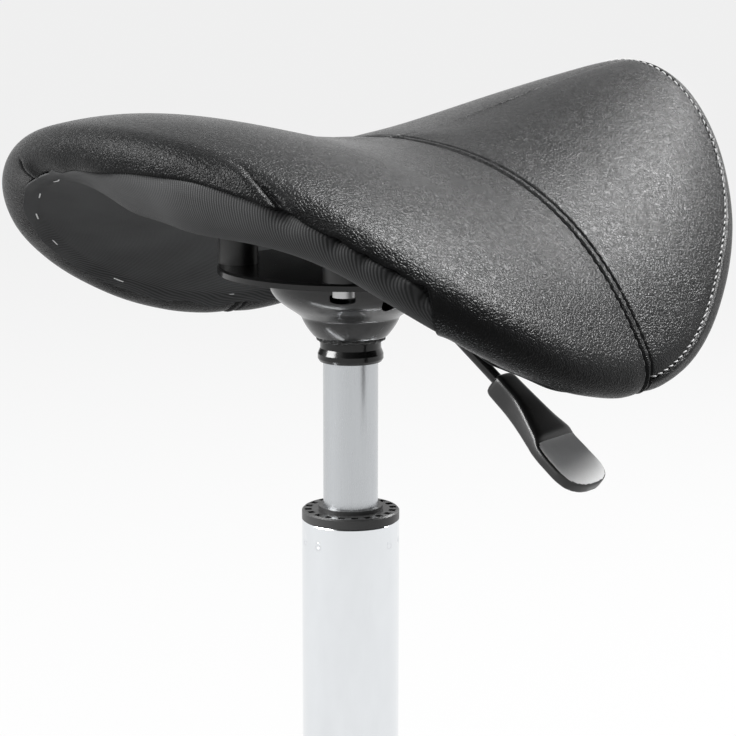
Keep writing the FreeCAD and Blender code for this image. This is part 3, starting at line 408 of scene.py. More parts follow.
class SeatSkin:
    """The seat's outer skin, looked up by angle and run."""

    def __init__(self):
        self.angles = np.linspace(-math.pi, math.pi, COLUMNS)
        rim = rim_at(self.angles)
        normal = normal_at(rim[:, 0], rim[:, 1])
        along = rim_at(self.angles + 0.001) - rim_at(self.angles - 0.001)
        outward = unit(np.cross(along, normal))
        facing = outward[:, 0] * rim[:, 0] + outward[:, 1] * (rim[:, 1] - MIDDLE)
        outward *= np.sign(facing)[:, None]
        mean = (ROLL_REAR + ROLL_FRONT) / 4 + ROLL_SIDE / 2
        swing = (ROLL_REAR + ROLL_FRONT) / 4 - ROLL_SIDE / 2
        reach = mean + (ROLL_REAR - ROLL_FRONT) / 2 * np.cos(self.angles) + swing * np.cos(2 * self.angles)
        half = EDGE_THICK / 2
        rolls = []
        for around in np.radians(np.linspace(90, -90, 2 * ROLL_HALF + 1)):
            rolls.append(rim + outward * (reach * math.cos(around))[:, None]
                         + normal * half * (1 + math.sin(around)))
        roll = np.stack(rolls, 1)
        top_rim = rim + normal * EDGE_THICK
        shares = np.linspace(0, 1, 80)[None, :-1]
        top = lifted(top_rim[:, :1] * shares, MIDDLE + (top_rim[:, 1:2] - MIDDLE) * shares)
        back = shares[:, ::-1]
        under_x = rim[:, :1] * back
        under_y = MIDDLE + (rim[:, 1:2] - MIDDLE) * back
        under = np.stack([under_x, under_y, underside(under_x, under_y)], -1)
        self.grid = np.zeros((COLUMNS, ROWS_TOP + ROWS_UNDER + 1, 3))
        self.top_length = np.zeros(COLUMNS)
        self.under_length = np.zeros(COLUMNS)
        self.roll_run = np.zeros((COLUMNS, 2 * ROLL_HALF + 1))
        window = np.exp(-(np.arange(-12, 13) / 5.0) ** 2)
        window /= window.sum()
        for column in range(COLUMNS):
            upper = np.concatenate([top[column], roll[column, :ROLL_HALF + 1]])
            lower = np.concatenate([roll[column, ROLL_HALF:], under[column]])
            upper_even, self.top_length[column] = spread(upper, ROWS_TOP + 1)
            lower_even, self.under_length[column] = spread(lower, ROWS_UNDER + 1)
            line = np.concatenate([upper_even[:-1], lower_even])
            padded = np.concatenate([np.repeat(line[:1], 12, 0), line, np.repeat(line[-1:], 12, 0)])
            eased = np.stack([np.convolve(padded[:, axis], window, "valid") for axis in range(3)], -1)
            keep = np.minimum(1, np.arange(len(line)) / 16)[:, None] * np.minimum(
                1, np.arange(len(line))[::-1] / 16)[:, None]
            self.grid[column] = line * (1 - keep) + eased * keep
            lengths = lengths_along(roll[column])
            self.roll_run[column] = lengths - lengths[ROLL_HALF]
        across = np.gradient(self.grid, axis=0)
        across[0] = across[-1] = (self.grid[1] - self.grid[-2]) / 2
        normals = unit(np.cross(across, np.gradient(self.grid, axis=1)))
        normals[:, 0] = unit(normals[:, 3].mean(0))
        normals[:, 1] = unit(normals[:, 0] * 0.5 + normals[:, 3] * 0.5)
        normals[:, 2] = unit(normals[:, 0] * 0.2 + normals[:, 3] * 0.8)
        normals[:, -1] = unit(normals[:, -4].mean(0))
        normals[:, -2] = normals[:, -3] = normals[:, -1]
        if normals[0, 0, 2] < 0:
            normals = -normals
        self.normals = normals

    def look_up(self, table, angle, run):
        column = (np.asarray(angle) + math.pi) / (2 * math.pi) * (COLUMNS - 1)
        column = np.clip(column, 0, COLUMNS - 1.0001)
        left = column.astype(int)
        share = (column - left)[..., None]
        total = 0
        for side, weight in ((left, 1 - share), (left + 1, share)):
            row = np.where(run <= 0, (1 + run / self.top_length[side]) * ROWS_TOP,
                           ROWS_TOP + run / self.under_length[side] * ROWS_UNDER)
            row = np.clip(row, 0, ROWS_TOP + ROWS_UNDER - 0.0001)
            low = row.astype(int)
            part = (row - low)[..., None]
            total = total + weight * (table[side, low] * (1 - part) + table[side, low + 1] * part)
        return total

    def point(self, angle, run):
        return self.look_up(self.grid, angle, run)

    def normal(self, angle, run):
        return unit(self.look_up(self.normals, angle, run))

    def roll_at(self, angle, around):
        """The run at which the rolled edge has turned to an angle above its outermost line."""
        column = np.clip(((np.asarray(angle) + math.pi) / (2 * math.pi) * (COLUMNS - 1)).round().astype(int),
                         0, COLUMNS - 1)
        row = np.clip(ROLL_HALF - np.asarray(around) / (90 / ROLL_HALF), 0, 2 * ROLL_HALF - 0.001)
        low = row.astype(int)
        part = row - low
        return self.roll_run[column, low] * (1 - part) + self.roll_run[column, low + 1] * part


SKIN = SeatSkin()


def fabric_edge(angle):
    """The run at which the leather goes under the fabric."""
    base = 8.56 - 17.97 * np.sin(angle) - 2.42 * np.cos(angle) + 0.76 * np.cos(2 * angle)
    degrees = np.degrees(angle)
    return base + 27 * ease(degrees, 49, 57) * (1 - ease(degrees, 125, 172))


def ragged_edge(angle):
    """The fabric's own edge, drawn in between its staples."""
    along = np.degrees(angle)
    waves = 0.9 * np.sin(np.radians(along * 21)) + 0.6 * np.sin(np.radians(along * 34 + 50))
    rough = ease(np.abs(along), 60, 90) * (along < 0) + 0.25
    return fabric_edge(angle) - 0.6 + waves * rough - TUCK_DEPTH * tucked(angle)


def tucked(angle):
    """1 where the fabric goes in under the leather's edge and 0 where it lies over the leather."""
    along = np.degrees(angle)
    return ease(along, -14, -7) * (1 - ease(along, 58, 64))


def edge_gaps(angle):
    """1 in the middle of each pucker where the leather's edge stands off the fabric."""
    along = np.degrees(angle)
    return sum(share * bell(along - middle, wide) for middle, wide, share in EDGE_GAPS)


def centre_line(x):
    return -31 - 10.5 * (1 - np.cos(np.pi * np.minimum(np.abs(x), 145) / 145)) / 2


def centre_distance(angle, run):
    """Signed distance from the centre seam, positive to the rear."""
    point = SKIN.point(angle, run)
    return point[..., 1] - centre_line(point[..., 0])


def border_around(angle):
    share = np.clip((np.abs(np.degrees(angle)) - 92) / 88, 0, 1)
    return 22.3 + (61.4 - 22.3) * share + 28 * np.sin(np.pi * share)


def border_distance(angle, run):
    """Signed distance from the border seam, positive towards the underside."""
    return run - SKIN.roll_at(angle, border_around(angle))


def corner_crease(angle, run):
    """Distance across the slit where the leather is folded in at the fabric's rear corner."""
    return (np.degrees(angle) + 20.8 - 0.11 * run) * 2.7


def side_fold(angle, run):
    """Distance across the fold of slack leather that runs down to the near edge, positive to the front."""
    return (np.degrees(angle) - 32.0 - 0.6 * (run + 3.4)) * 2.0


def folds(angle, run):
    """Soft unevenness of the leather: its edge's pull and puckers, slack over the foam, and creases."""
    along = np.degrees(angle)
    inside = fabric_edge(angle) - run
    pull = (np.sin(np.radians(along * 13 + 40 * np.sin(np.radians(along * 3))))
            + 0.6 * np.sin(np.radians(along * 29 + 25)))
    near_edge = np.exp(-np.maximum(inside, 0) / 9)
    slack = np.sin(np.radians(along * 4 + run * 2.1)) * np.sin(np.radians(along * 2.3 - run * 1.3 + 60))
    slit = corner_crease(angle, run)
    in_slit = ease(run, 0, 7) * (1 - ease(run, 19, 24))
    fold = side_fold(angle, run)
    in_fold = ease(run, -17, -8) * (1 - ease(run, -1, 3))
    rise = 0.55 * pull * near_edge + 0.25 * slack
    rise = rise + in_slit * (1.6 * bell(slit - 4, 4) - 4.2 * bell(slit, 1.3))
    rise = rise + in_fold * (1.8 * bell(fold + 4, 4) - 3.0 * bell(fold - 1.5, 1.9))
    lip = 1.2 * tucked(angle) * np.exp(-np.maximum(inside, 0) / 5)
    return rise + edge_gaps(angle) * 1.5 * near_edge + lip


def leather_rise(angle, run):
    """How far the leather stands off the seat's smooth skin, with its seams drawn in."""
    centre = centre_distance(angle, run)
    border = border_distance(angle, run)
    front = ease(-centre, -1.0, 1.0)
    rise = folds(angle, run)
    rise = rise - 0.8 * bell(centre, 9)
    rise = rise - 1.5 * bell(np.abs(centre) - SEAM_OFFSET, 0.8) + 0.5 * bell(centre, 1.7)
    side = ease(np.abs(np.degrees(angle)), 88, 96) * front
    return rise - side * (0.8 * bell(border, 8) + 1.1 * bell(border, 0.9) - 0.35 * bell(border - 2.6, 1.4))


def skin_mesh(name, rows, run_of, rise_of, cuts, keep):
    """A sheet over the seat: a grid in angle and run, cut along seams, then laid on the skin."""
    work = bmesh.new()
    lines = []
    for angle in np.linspace(-math.pi, math.pi, COLUMNS):
        runs = run_of(np.full(rows + 1, angle), np.linspace(0, 1, rows + 1))
        lines.append([work.verts.new((angle * 100, run, 0)) for run in runs])
    for left, right in zip(lines, lines[1:]):
        for low, high in zip(range(rows), range(1, rows + 1)):
            work.faces.new((left[low], left[high], right[high], right[low]))
    for field, levels in cuts:
        place = np.array([v.co[:] for v in work.verts])
        for vert, value in zip(work.verts, field(place[:, 0] / 100, place[:, 1])):
            vert.co.z = value
        for level in levels:
            bmesh.ops.bisect_plane(work, geom=work.verts[:] + work.edges[:] + work.faces[:], dist=1e-4,
                                   plane_co=(0, 0, level), plane_no=(0, 0, 1))
    centres = np.array([f.calc_center_median()[:] for f in work.faces])
    wanted = keep(centres[:, 0] / 100, centres[:, 1])
    spare = [face for face, keeping in zip(work.faces[:], wanted) if not keeping]
    bmesh.ops.delete(work, geom=spare, context="FACES")
    place = np.array([v.co[:] for v in work.verts])
    angle, run = place[:, 0] / 100, place[:, 1]
    laid = SKIN.point(angle, run) + SKIN.normal(angle, run) * rise_of(angle, run)[:, None]
    for vert, point in zip(work.verts, laid * MM):
        vert.co = point
    bmesh.ops.remove_doubles(work, verts=work.verts[:], dist=1e-6)
    bmesh.ops.dissolve_degenerate(work, edges=work.edges[:], dist=1e-6)
    return from_bmesh(name, work)


def from_bmesh(name, work):
    mesh = bpy.data.meshes.new(name)
    work.to_mesh(mesh)
    work.free()
    mesh.shade_smooth()
    made = bpy.data.objects.new(name, mesh)
    bpy.context.scene.collection.objects.link(made)
    return made


def closed(name, work):
    """A body with its faces turned outwards."""
    bmesh.ops.recalc_face_normals(work, faces=work.faces[:])
    return from_bmesh(name, work)


def thicken(piece, thick):
    """Give a sheet its thickness inwards, in millimetres."""
    layer = piece.modifiers.new("thickness", "SOLIDIFY")
    layer.thickness = thick * MM
    layer.offset = -1.0


def skin_rings(work, rings):
    """Add a closed tube through rings of points, in millimetres."""
    before = None
    for ring in rings:
        now = [work.verts.new(point * MM) for point in ring]
        if before:
            for side in range(len(now)):
                other = (side + 1) % len(now)
                work.faces.new((before[side], before[other], now[other], now[side]))
        else:
            work.faces.new(now[::-1])
        before = now
    work.faces.new(before)


def dress(piece, finish, body, slot, *nodes):
    """Give a piece its finish and its body, and hide the nodes that it stands for. The slot argument is not
    used.
    """
    piece.data.materials.clear()
    piece.data.materials.append(bpy.data.materials[finish])
    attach(piece, body)
    if nodes:
        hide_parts(*nodes)


class StretchedFabric:
    """The rise of the fabric underneath, pulled taut from its edge over the shell's arch to the spacers."""

    def __init__(self):
        self.angles = np.radians(np.arange(-180, 180, 2.0))
        self.low = np.maximum(fabric_edge(self.angles), 2.0)
        self.high = np.interp(self.angles, SKIN.angles, SKIN.under_length) - 1
        self.shares = np.linspace(0, 1, 56)
        run = self.low[:, None] + self.shares * (self.high - self.low)[:, None]
        angle = np.repeat(self.angles[:, None], len(self.shares), 1)
        skin = SKIN.point(angle.ravel(), run.ravel()).reshape(*run.shape, 3)
        normal = SKIN.normal(angle.ravel(), run.ravel()).reshape(*run.shape, 3)
        held = np.zeros(run.shape, bool)
        held[:, 0] = held[:, -1] = True
        for x in (-SPACER_OUT, SPACER_OUT):
            for y in (-SPACER_OUT, SPACER_OUT):
                held |= np.hypot(skin[..., 0] - x, skin[..., 1] - y) < SPACER_RADIUS
        along = 1 / np.maximum(np.linalg.norm(np.roll(skin, -1, 0) - skin, axis=-1), 0.3) ** 2
        inward = 1 / np.linalg.norm(np.diff(skin, axis=1), axis=-1) ** 2
        before = np.roll(along, 1, 0)
        weight = along + before
        weight[:, 1:-1] += inward[:, 1:] + inward[:, :-1]
        rise = np.full(run.shape, FABRIC_REST)
        for _ in range(SETTLING_STEPS):
            place = skin + normal * rise[..., None]
            pull = along[..., None] * np.roll(place, -1, 0) + before[..., None] * np.roll(place, 1, 0)
            pull[:, 1:-1] += inward[:, 1:, None] * place[:, 2:] + inward[:, :-1, None] * place[:, :-2]
            drawn = ((pull / weight[..., None] - skin) * normal).sum(-1)
            rise = np.where(held, rise, np.maximum(FABRIC_REST, drawn))
        self.rise = np.concatenate([rise, rise[:1]])

    def at(self, angle, run):
        """The rise at an angle and run."""
        column = (np.asarray(angle) + math.pi) / (2 * math.pi) * len(self.angles)
        column = np.clip(column, 0, len(self.angles) - 0.0001)
        left = column.astype(int)
        part = column - left
        low = np.interp(angle, self.angles, self.low)
        high = np.interp(angle, self.angles, self.high)
        row = np.clip((run - low) / (high - low), 0, 0.9999) * (len(self.shares) - 1)
        under = row.astype(int)
        between = row - under
        total = 0
        for side, share in ((left, 1 - part), (left + 1, part)):
            total = total + share * (self.rise[side, under] * (1 - between)
                                     + self.rise[side, under + 1] * between)
        return total


def near_swell(angle, inside):
    """Fullness of the fabric over the near rear quarter, more than its stretch gives."""
    along = np.degrees(angle)
    crest = 17.5 * ease(along, -20, 5) * (1 - ease(along, 14.8, 45))
    return crest * np.where(inside < 24, bell(inside - 24, 15), bell(inside - 24, 27))


def seam_path(offset):
    """Angle and run along a line beside the centre seam, from one leather edge to the other."""
    shares = np.linspace(0, 1, 700)
    sides = []
    for side in (1, -1):
        low = np.full(shares.shape, math.radians(40))
        high = np.full(shares.shape, math.pi)
        for _ in range(30):
            middle = (low + high) / 2
            run = -np.interp(middle, SKIN.angles, SKIN.top_length) + shares * (
                np.interp(middle, SKIN.angles, SKIN.top_length) + fabric_edge(middle * side) + 1)
            ahead = centre_distance(middle * side, run) - offset > 0
            low = np.where(ahead, middle, low)
            high = np.where(ahead, high, middle)
        good = high < math.pi - 0.001
        sides.append((middle[good] * side, run[good]))
    angle = np.r_[sides[0][0][::-1], sides[1][0]]
    run = np.r_[sides[0][1][::-1], sides[1][1]]
    return even_path(angle, run)


def border_path(offset):
    """Angle and run along a line beside the border seam, round the front."""
    sweep = np.radians(np.linspace(94.5, 265.5, 900))
    angle = np.where(sweep > math.pi, sweep - 2 * math.pi, sweep)
    run = SKIN.roll_at(angle, border_around(angle)) + offset
    keep = centre_distance(angle, run) < -3
    return even_path(angle[keep], run[keep])


def even_path(angle, run):
    """The same path with its points a millimetre apart."""
    points = SKIN.point(angle, run)
    steps = lengths_along(points)
    at = np.arange(0, steps[-1])
    index = np.interp(at, steps, np.arange(len(steps)))
    low = np.minimum(index.astype(int), len(angle) - 2)
    part = index - low
    turn = angle[low + 1] - angle[low]
    turn = np.where(np.abs(turn) > math.pi, 0, turn)
    return angle[low] + turn * part, run[low] * (1 - part) + run[low + 1] * part


def stitches(name, angle, run, pitch, length, radius, lift, slant=0.0):
    """Thread lying in stitches along a path, each end going down into the leather."""
    work = bmesh.new()
    points = SKIN.point(angle, run) + SKIN.normal(angle, run) * leather_rise(angle, run)[:, None]
    normals = SKIN.normal(angle, run)
    steps = lengths_along(points)
    count = int(steps[-1] / pitch)
    rings = 7
    sides = 7
    for stitch in range(count):
        start = (stitch + 0.5) * pitch - length / 2
        at = np.linspace(start, start + length, rings)
        line = read_at(at, steps, points)
        up = unit(read_at(at, steps, normals))
        ahead = unit(np.gradient(line, axis=0))
        across = unit(np.cross(ahead, up))
        along = np.linspace(-1, 1, rings)
        arch = lift * (1 - along ** 4) - 0.55 * radius * along ** 6
        line = line + up * arch[:, None] + across * (slant * along)[:, None]
        girth = radius * (1 - 0.45 * along ** 6)
        turns = [2 * math.pi * side / sides for side in range(sides)]
        skin_rings(work, [
            [line[ring] + girth[ring] * (math.cos(turn) * across[ring] + math.sin(turn) * up[ring])
             for turn in turns] for ring in range(rings)])
    return closed(name, work)


# Other forms


def smooth_through(places, values, at):
    """A curve without overshoot through values at rising places."""
    slopes = np.diff(values) / np.diff(places)
    index = int(np.clip(np.searchsorted(places, at) - 1, 0, len(slopes) - 1))
    tangents = [slopes[0], *[0 if a * b <= 0 else 2 * a * b / (a + b) for a, b in zip(slopes, slopes[1:])],
                slopes[-1]]
    width = places[index + 1] - places[index]
    share = (at - places[index]) / width
    square = share * share
    cube = square * share
    return ((2 * cube - 3 * square + 1) * values[index]
            + (cube - 2 * square + share) * width * tangents[index]
            + (3 * square - 2 * cube) * values[index + 1]
            + (cube - square) * width * tangents[index + 1])


def rounded(profile):
    """An open profile with its corners cut twice, so that it turns smoothly."""
    for _ in range(2):
        eased = [profile[0]]
        for (ax, ay), (bx, by) in zip(profile, profile[1:]):
            eased.append((ax * 0.75 + bx * 0.25, ay * 0.75 + by * 0.25))
            eased.append((ax * 0.25 + bx * 0.75, ay * 0.25 + by * 0.75))
        profile = eased + [profile[-1]]
    return profile


def carve(piece, cutters):
    """Cut shapes out of a piece and leave none of them behind."""
    for cutter in cutters:
        opening = piece.modifiers.new("opening", "BOOLEAN")
        opening.operation = "DIFFERENCE"
        opening.solver = "EXACT"
        opening.object = cutter
    solid = piece.evaluated_get(bpy.context.evaluated_depsgraph_get())
    carved = bpy.data.meshes.new_from_object(solid)
    piece.modifiers.clear()
    piece.data = carved
    for cutter in cutters:
        bpy.data.objects.remove(cutter)


def lathe(name, profile, segments, shift=None):
    """A closed ring turned from a closed profile of (radius, height), in millimetres."""
    work = bmesh.new()
    rings = []
    for segment in range(segments):
        turn = 2 * math.pi * segment / segments
        ring = []
        for radius, height in profile:
            point = Vector((radius * math.cos(turn), radius * math.sin(turn), height))
            if shift:
                point = shift(point, turn)
            ring.append(work.verts.new(point * MM))
        rings.append(ring)
    for index in range(segments):
        here, there = rings[index], rings[(index + 1) % segments]
        for low in range(len(profile)):
            high = (low + 1) % len(profile)
            work.faces.new((here[low], there[low], there[high], here[high]))
    return closed(name, work)


def loft(name, rings):
    """A closed mesh through rings of points, in millimetres."""
    work = bmesh.new()
    skin_rings(work, rings)
    return closed(name, work)


def sharpen(piece, degrees=35):
    """Smooth shading with the hard edges kept."""
    work = bmesh.new()
    work.from_mesh(piece.data)
    for edge in work.edges:
        edge.smooth = not (edge.is_manifold and edge.calc_face_angle(0) > math.radians(degrees))
    work.to_mesh(piece.data)
    work.free()


# The lever and the fittings of the lift, in millimetres and degrees

LEVER_HEADING = 190
LEVER_SLOPE = math.radians(37.5)
LEVER_BEND = 43.0
LEVER_HEIGHT = 119.6
PADDLE_START = 88.0
PADDLE_SET_BACK = 3.5
PADDLE_LENGTH = 70.5
PAD_START = 0.58
# Share of the length, half width, height of the upper face and depth of the lower face
PADDLE_FORM = np.array((
    (0.0, 5.2, 4.6, -4.8), (0.015, 6.6, 5.6, -5.8), (0.05, 7.2, 6.0, -6.4), (0.2, 8.0, 6.0, -6.4),
    (0.3, 9.4, 5.6, -6.3), (0.42, 12.0, 4.7, -6.1), (0.53, 15.0, 4.1, -5.8), (0.6, 16.6, 2.0, -5.6),
    (0.7, 17.6, 1.4, -5.4), (0.82, 17.8, 1.3, -5.3), (0.9, 16.6, 1.2, -5.2), (0.95, 13.8, 1.1, -5.0),
    (0.985, 9.0, 0.9, -4.7), (1.0, 4.8, 0.2, -4.0)))
# The bowl's sides, as radius and height over the column's top
BOWL_OUTSIDE = (
    (46, 129), (46, 127.2), (43.6, 126.9), (42.0, 124), (41.0, 119.5), (38.2, 115), (33.6, 111.2),
    (29.0, 108.2), (26.2, 106.2), (25.0, 105.2), (24.2, 103.0), (22.2, 99.6), (20.2, 96.9), (18.4, 94.8),
    (15.6, 94.0))
BOWL_INSIDE = (
    (15.6, 96.6), (17, 97.4), (19, 99), (20.8, 101.4), (21.8, 104), (22.6, 108.4), (27.6, 110.8),
    (32.4, 113.2), (36.4, 116.6), (38.9, 120.4), (39.6, 124.6), (39.6, 129))
# Where the slots and the mouth stand, and the bottom, top, half width and flattening of each
SLOT_HEADINGS = (LEVER_HEADING, 168)
SLOT = (112.5, 127.6, 4.5, 1.0)
MOUTH_HEADING = 132.7
MOUTH = (117.2, 123.0, 6.4, 0.28)
WELD_RADIUS = 16.1
WELD_HEIGHT = 94.0
COLUMN_RADIUS = 25.0
COLUMN_LIP = 24.4
COLUMN_BORE = 23.5
COLUMN_HOLE = 5.6
TAPER = 0.7
TAPER_HEIGHT = 65
DIMPLE_HEADINGS = (70.3, 96.9)
CAMERA_PLACE = (-0.8459, 0.7528)
CAMERA_TILT = math.radians(11.12)
CAMERA_LENS = 111.34
CAMERA_SHIFT = 0.0236
# Name, heading and height of each lamp as degrees seen from the seat, distance, side and power
LAMPS = (
    ("left", 58, 33, 2.0, 1.2, 125),
    ("back", 258, 45, 2.2, 1.1, 185),
    ("top", 150, 78, 1.8, 0.8, 14),
)
LAMPS_AROUND = Vector((0, 0, 0.45))


def level_out(heading):
    """The level direction at a heading in degrees."""
    return Vector((math.cos(math.radians(heading)), math.sin(math.radians(heading)), 0))


def lever_frame():
    """The paddle's start, its direction, its width's direction and its upward face."""
    out = level_out(LEVER_HEADING)
    down = out * math.cos(LEVER_SLOPE) - Vector((0, 0, math.sin(LEVER_SLOPE)))
    up = out * math.sin(LEVER_SLOPE) + Vector((0, 0, math.cos(LEVER_SLOPE)))
    bend = out * LEVER_BEND + Vector((0, 0, COLUMN_TOP + LEVER_HEIGHT))
    start = bend + down * ((PADDLE_START - LEVER_BEND) / math.cos(LEVER_SLOPE) + PADDLE_SET_BACK)
    return start, down, out.cross(Vector((0, 0, 1))), up


# Sizes and colours that a user would change


def fraction(name, description, default):
    """A setting from 0 to 1."""
    return bpy.props.FloatProperty(
        name=name, description=description, default=default, min=0, max=1, subtype="FACTOR")


class SeatSettings(bpy.types.PropertyGroup):
    leather_tone: fraction("Leather tone", "Brightness of the leather", 0.0062)
    leather_roughness: fraction("Leather roughness", "How dull the leather is", 0.28)
    leather_thick: bpy.props.FloatProperty(
        name="Leather thickness", description="Thickness of the panels", default=0.0013, min=0.0005,
        max=0.003, unit="LENGTH", precision=4)
    fabric_tone: fraction("Fabric tone", "Brightness of the fabric underneath", 0.034)
    stitch_pitch: bpy.props.FloatProperty(
        name="Stitch pitch", description="Distance from stitch to stitch", default=0.0052, min=0.002,
        max=0.01, unit="LENGTH", precision=4)


class MetalSettings(bpy.types.PropertyGroup):
    enamel_tone: fraction("Enamel tone", "Brightness of the black enamel", 0.012)
    column_tone: fraction("Column tone", "Brightness of the column's plating", 0.84)
    cylinder_tone: fraction("Cylinder tone", "Brightness of the inner cylinder", 0.6)


class StageSettings(bpy.types.PropertyGroup):
    floor_size: bpy.props.FloatProperty(
        name="Floor size", description="Length of the floor's side", default=60.0, min=2, unit="LENGTH")
    shadow: fraction("Shadow", "How much of the floor's shading shows", 0.14)
    sky: bpy.props.FloatProperty(
        name="Sky", description="Strength of the even light from all round", default=0.18, min=0, max=2)
    camera_height: bpy.props.FloatProperty(
        name="Camera height", description="Height of the camera over the floor", default=0.61064,
        unit="LENGTH", precision=5)


# Operators, one for the finishes, for the stage and for each piece or group of like pieces


class STOOL_OT_finishes(bpy.types.Operator):
    """Make every finish and give the carried-over parts theirs."""

    bl_idname = "stool.finishes"
    bl_label = "Finishes"

    def execute(self, context):
        seat = context.scene.stool_seat
        metal = context.scene.stool_metal
        leather_finish("leather", seat.leather_tone, seat.leather_roughness)
        ribbed_finish("ribbed_fabric", seat.fabric_tone)
        # One black enamel as two copies: the copy on the plate, the weld and the other black steel is painted
        # darker as painted shade under the seat, and the bowl's copy is painted lighter as painted light.
        enamel_finish("enamel", metal.enamel_tone * 0.7, 0.18)
        enamel_finish("bowl_enamel_painted_lighter", metal.enamel_tone * 2, 0.22)
        plated_finish("cylinder_steel", metal.cylinder_tone, 0.26, 0.5, 0.03)
        plated_finish("column_chrome", metal.column_tone, 0.1, 0.08, 0.025)
        plated_finish("bare_steel", 0.55, 0.34, 0.3)
        moulded_finish("black_plastic", 0.018, 0.42)
        moulded_finish("grip_plastic", 0.008, 0.34, 0.8)
        moulded_finish("grip_pad", 0.62, 0.7, 0.55, 0.12)
        moulded_finish("caster_plastic", 0.02, 0.3, 1.2, 0.03)
        moulded_finish("rubber", 0.02, 0.75, 0.6, 0.1)
        thread_finish("black_thread", 0.012)
        thread_finish("light_thread", 0.26)
        timber_finish("plywood")
        foam_finish("foam")
        by_slot = {
            "leather_black": "leather", "black_steel": "enamel", "chrome_plate": "column_chrome",
            "zinc_steel": "bare_steel", "grey_plastic": "grip_plastic", "black_rubber": "rubber",
            "wheel_plastic": "caster_plastic", "spacer_plastic": "black_plastic",
        }
        slots = {part["node"]: part["material_slot"] for part in frame["record"]["subparts"]}
        for node, part in frame["nodes"].items():
            part.data.materials.clear()
            part.data.materials.append(bpy.data.materials[by_slot.get(slots[node], slots[node])])
        frame["nodes"]["lift_cylinder"].data.materials[0] = bpy.data.materials["cylinder_steel"]
        return {"FINISHED"}


class STOOL_OT_leather(bpy.types.Operator):
    """Sew the three leather panels over the seat."""

    bl_idname = "stool.leather"
    bl_label = "Leather panels"

    def execute(self, context):
        seat = context.scene.stool_seat

        def run_of(angle, share):
            top = np.interp(angle, SKIN.angles, SKIN.top_length)
            edge = fabric_edge(angle) + 3 * (1 - tucked(angle)) - 1.8 * edge_gaps(angle) * tucked(angle)
            return -top + share * (top + edge)

        beside = (1.0, 2.0, SEAM_OFFSET, 3.4, 4.4, 7)
        centre_cuts = (centre_distance, (*(-place for place in reversed(beside)), 0, *beside))
        crease_cuts = [(corner_crease, (-2, -1.2, -0.6, 0, 0.6, 1.2, 2)),
                       (side_fold, (-2, -0.6, 0.5, 1.5, 2.5, 4))]
        border_cuts = (border_distance, (-4, -2, -0.9, 0, 0.9, 2, 3.4))
        panels = (
            ("leather_rear_panel", "cover_rear_panel", [centre_cuts] + crease_cuts,
             lambda a, r: centre_distance(a, r) > 0),
            ("leather_front_panel", "cover_front_panel", [centre_cuts, border_cuts],
             lambda a, r: (centre_distance(a, r) < 0) & (border_distance(a, r) < 0)),
            ("leather_border_band", "cover_border_band", [centre_cuts, border_cuts],
             lambda a, r: (centre_distance(a, r) < 0) & (border_distance(a, r) > 0)),
        )
        for name, node, cuts, keep in panels:
            panel = skin_mesh(name, 124, run_of, leather_rise, cuts, keep)
            thicken(panel, seat.leather_thick / MM)
            dress(panel, "leather", "seat", "leather_black", node)
        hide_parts("seat_foam")
        return {"FINISHED"}


class STOOL_OT_stitching(bpy.types.Operator):
    """Lay the thread along both seams."""

    bl_idname = "stool.stitching"
    bl_label = "Stitching"

    def execute(self, context):
        pitch = context.scene.stool_seat.stitch_pitch / MM
        for name, offset in (("centre_stitches_rear", SEAM_OFFSET), ("centre_stitches_front", -SEAM_OFFSET)):
            row = stitches(name, *seam_path(offset), pitch, pitch * 0.76, 0.42, 0.35)
            dress(row, "black_thread", "seat", "leather_black")
        row = stitches("border_stitches", *border_path(-1.6), pitch, pitch * 0.84, 0.36, 0.4, 0.4)
        dress(row, "light_thread", "seat", "leather_black")
        return {"FINISHED"}


class STOOL_OT_fabric(bpy.types.Operator):
    """Stretch the ribbed fabric under the seat."""

    bl_idname = "stool.fabric"
    bl_label = "Fabric underneath"

    def execute(self, context):
        def run_of(angle, share):
            under = np.interp(angle, SKIN.angles, SKIN.under_length)
            edge = ragged_edge(angle)
            return edge + share ** 1.35 * (under - 0.01 - edge)

        stretched = StretchedFabric()

        def rise_of(angle, run):
            inside = run - fabric_edge(angle)
            along = np.degrees(angle)
            held = 0.5 + 0.5 * np.cos(np.radians(along * PUCKERS_ROUND))
            pucker = (1 - held) * np.exp(-np.maximum(inside, 0) / 8)
            taut = stretched.at(angle, run)
            swell = near_swell(angle, inside)
            full = np.log(np.exp(taut / 2) + np.exp(swell / 2)) * 2 - SOFT_JOIN
            over = FABRIC_LAP * (1 - ease(inside, 1, 9)) * (1 - tucked(angle)) + pucker
            under = -2.6 * tucked(angle) * (1 - ease(inside, -2.5, 1.5))
            gap = -3.2 * edge_gaps(angle) * tucked(angle) * bell(inside - 1, 4)
            return np.maximum(full, FABRIC_REST) * ease(inside, -1, 5) + over + under + gap

        sheet = skin_mesh("fabric_underneath", 110, run_of, rise_of, [], lambda a, r: np.ones(len(a), bool))
        thicken(sheet, 0.9)
        dress(sheet, "ribbed_fabric", "seat", "ribbed_fabric", "dust_cover")
        return {"FINISHED"}


def wire_staple(work, here, ahead, up):
    """Add the crown of one flattened wire staple, its ends turned down into the fabric."""
    across = unit(np.cross(ahead, up))
    turns = np.linspace(0, 2 * math.pi, 6, endpoint=False)
    rings = []
    for share in np.linspace(-1, 1, 9):
        spot = here + ahead * share * 4.6 - up * 1.6 * abs(share) ** 12
        rings.append([spot + (across * 0.38 * math.cos(turn) + up * 0.26 * math.sin(turn)) for turn in turns])
    skin_rings(work, rings)


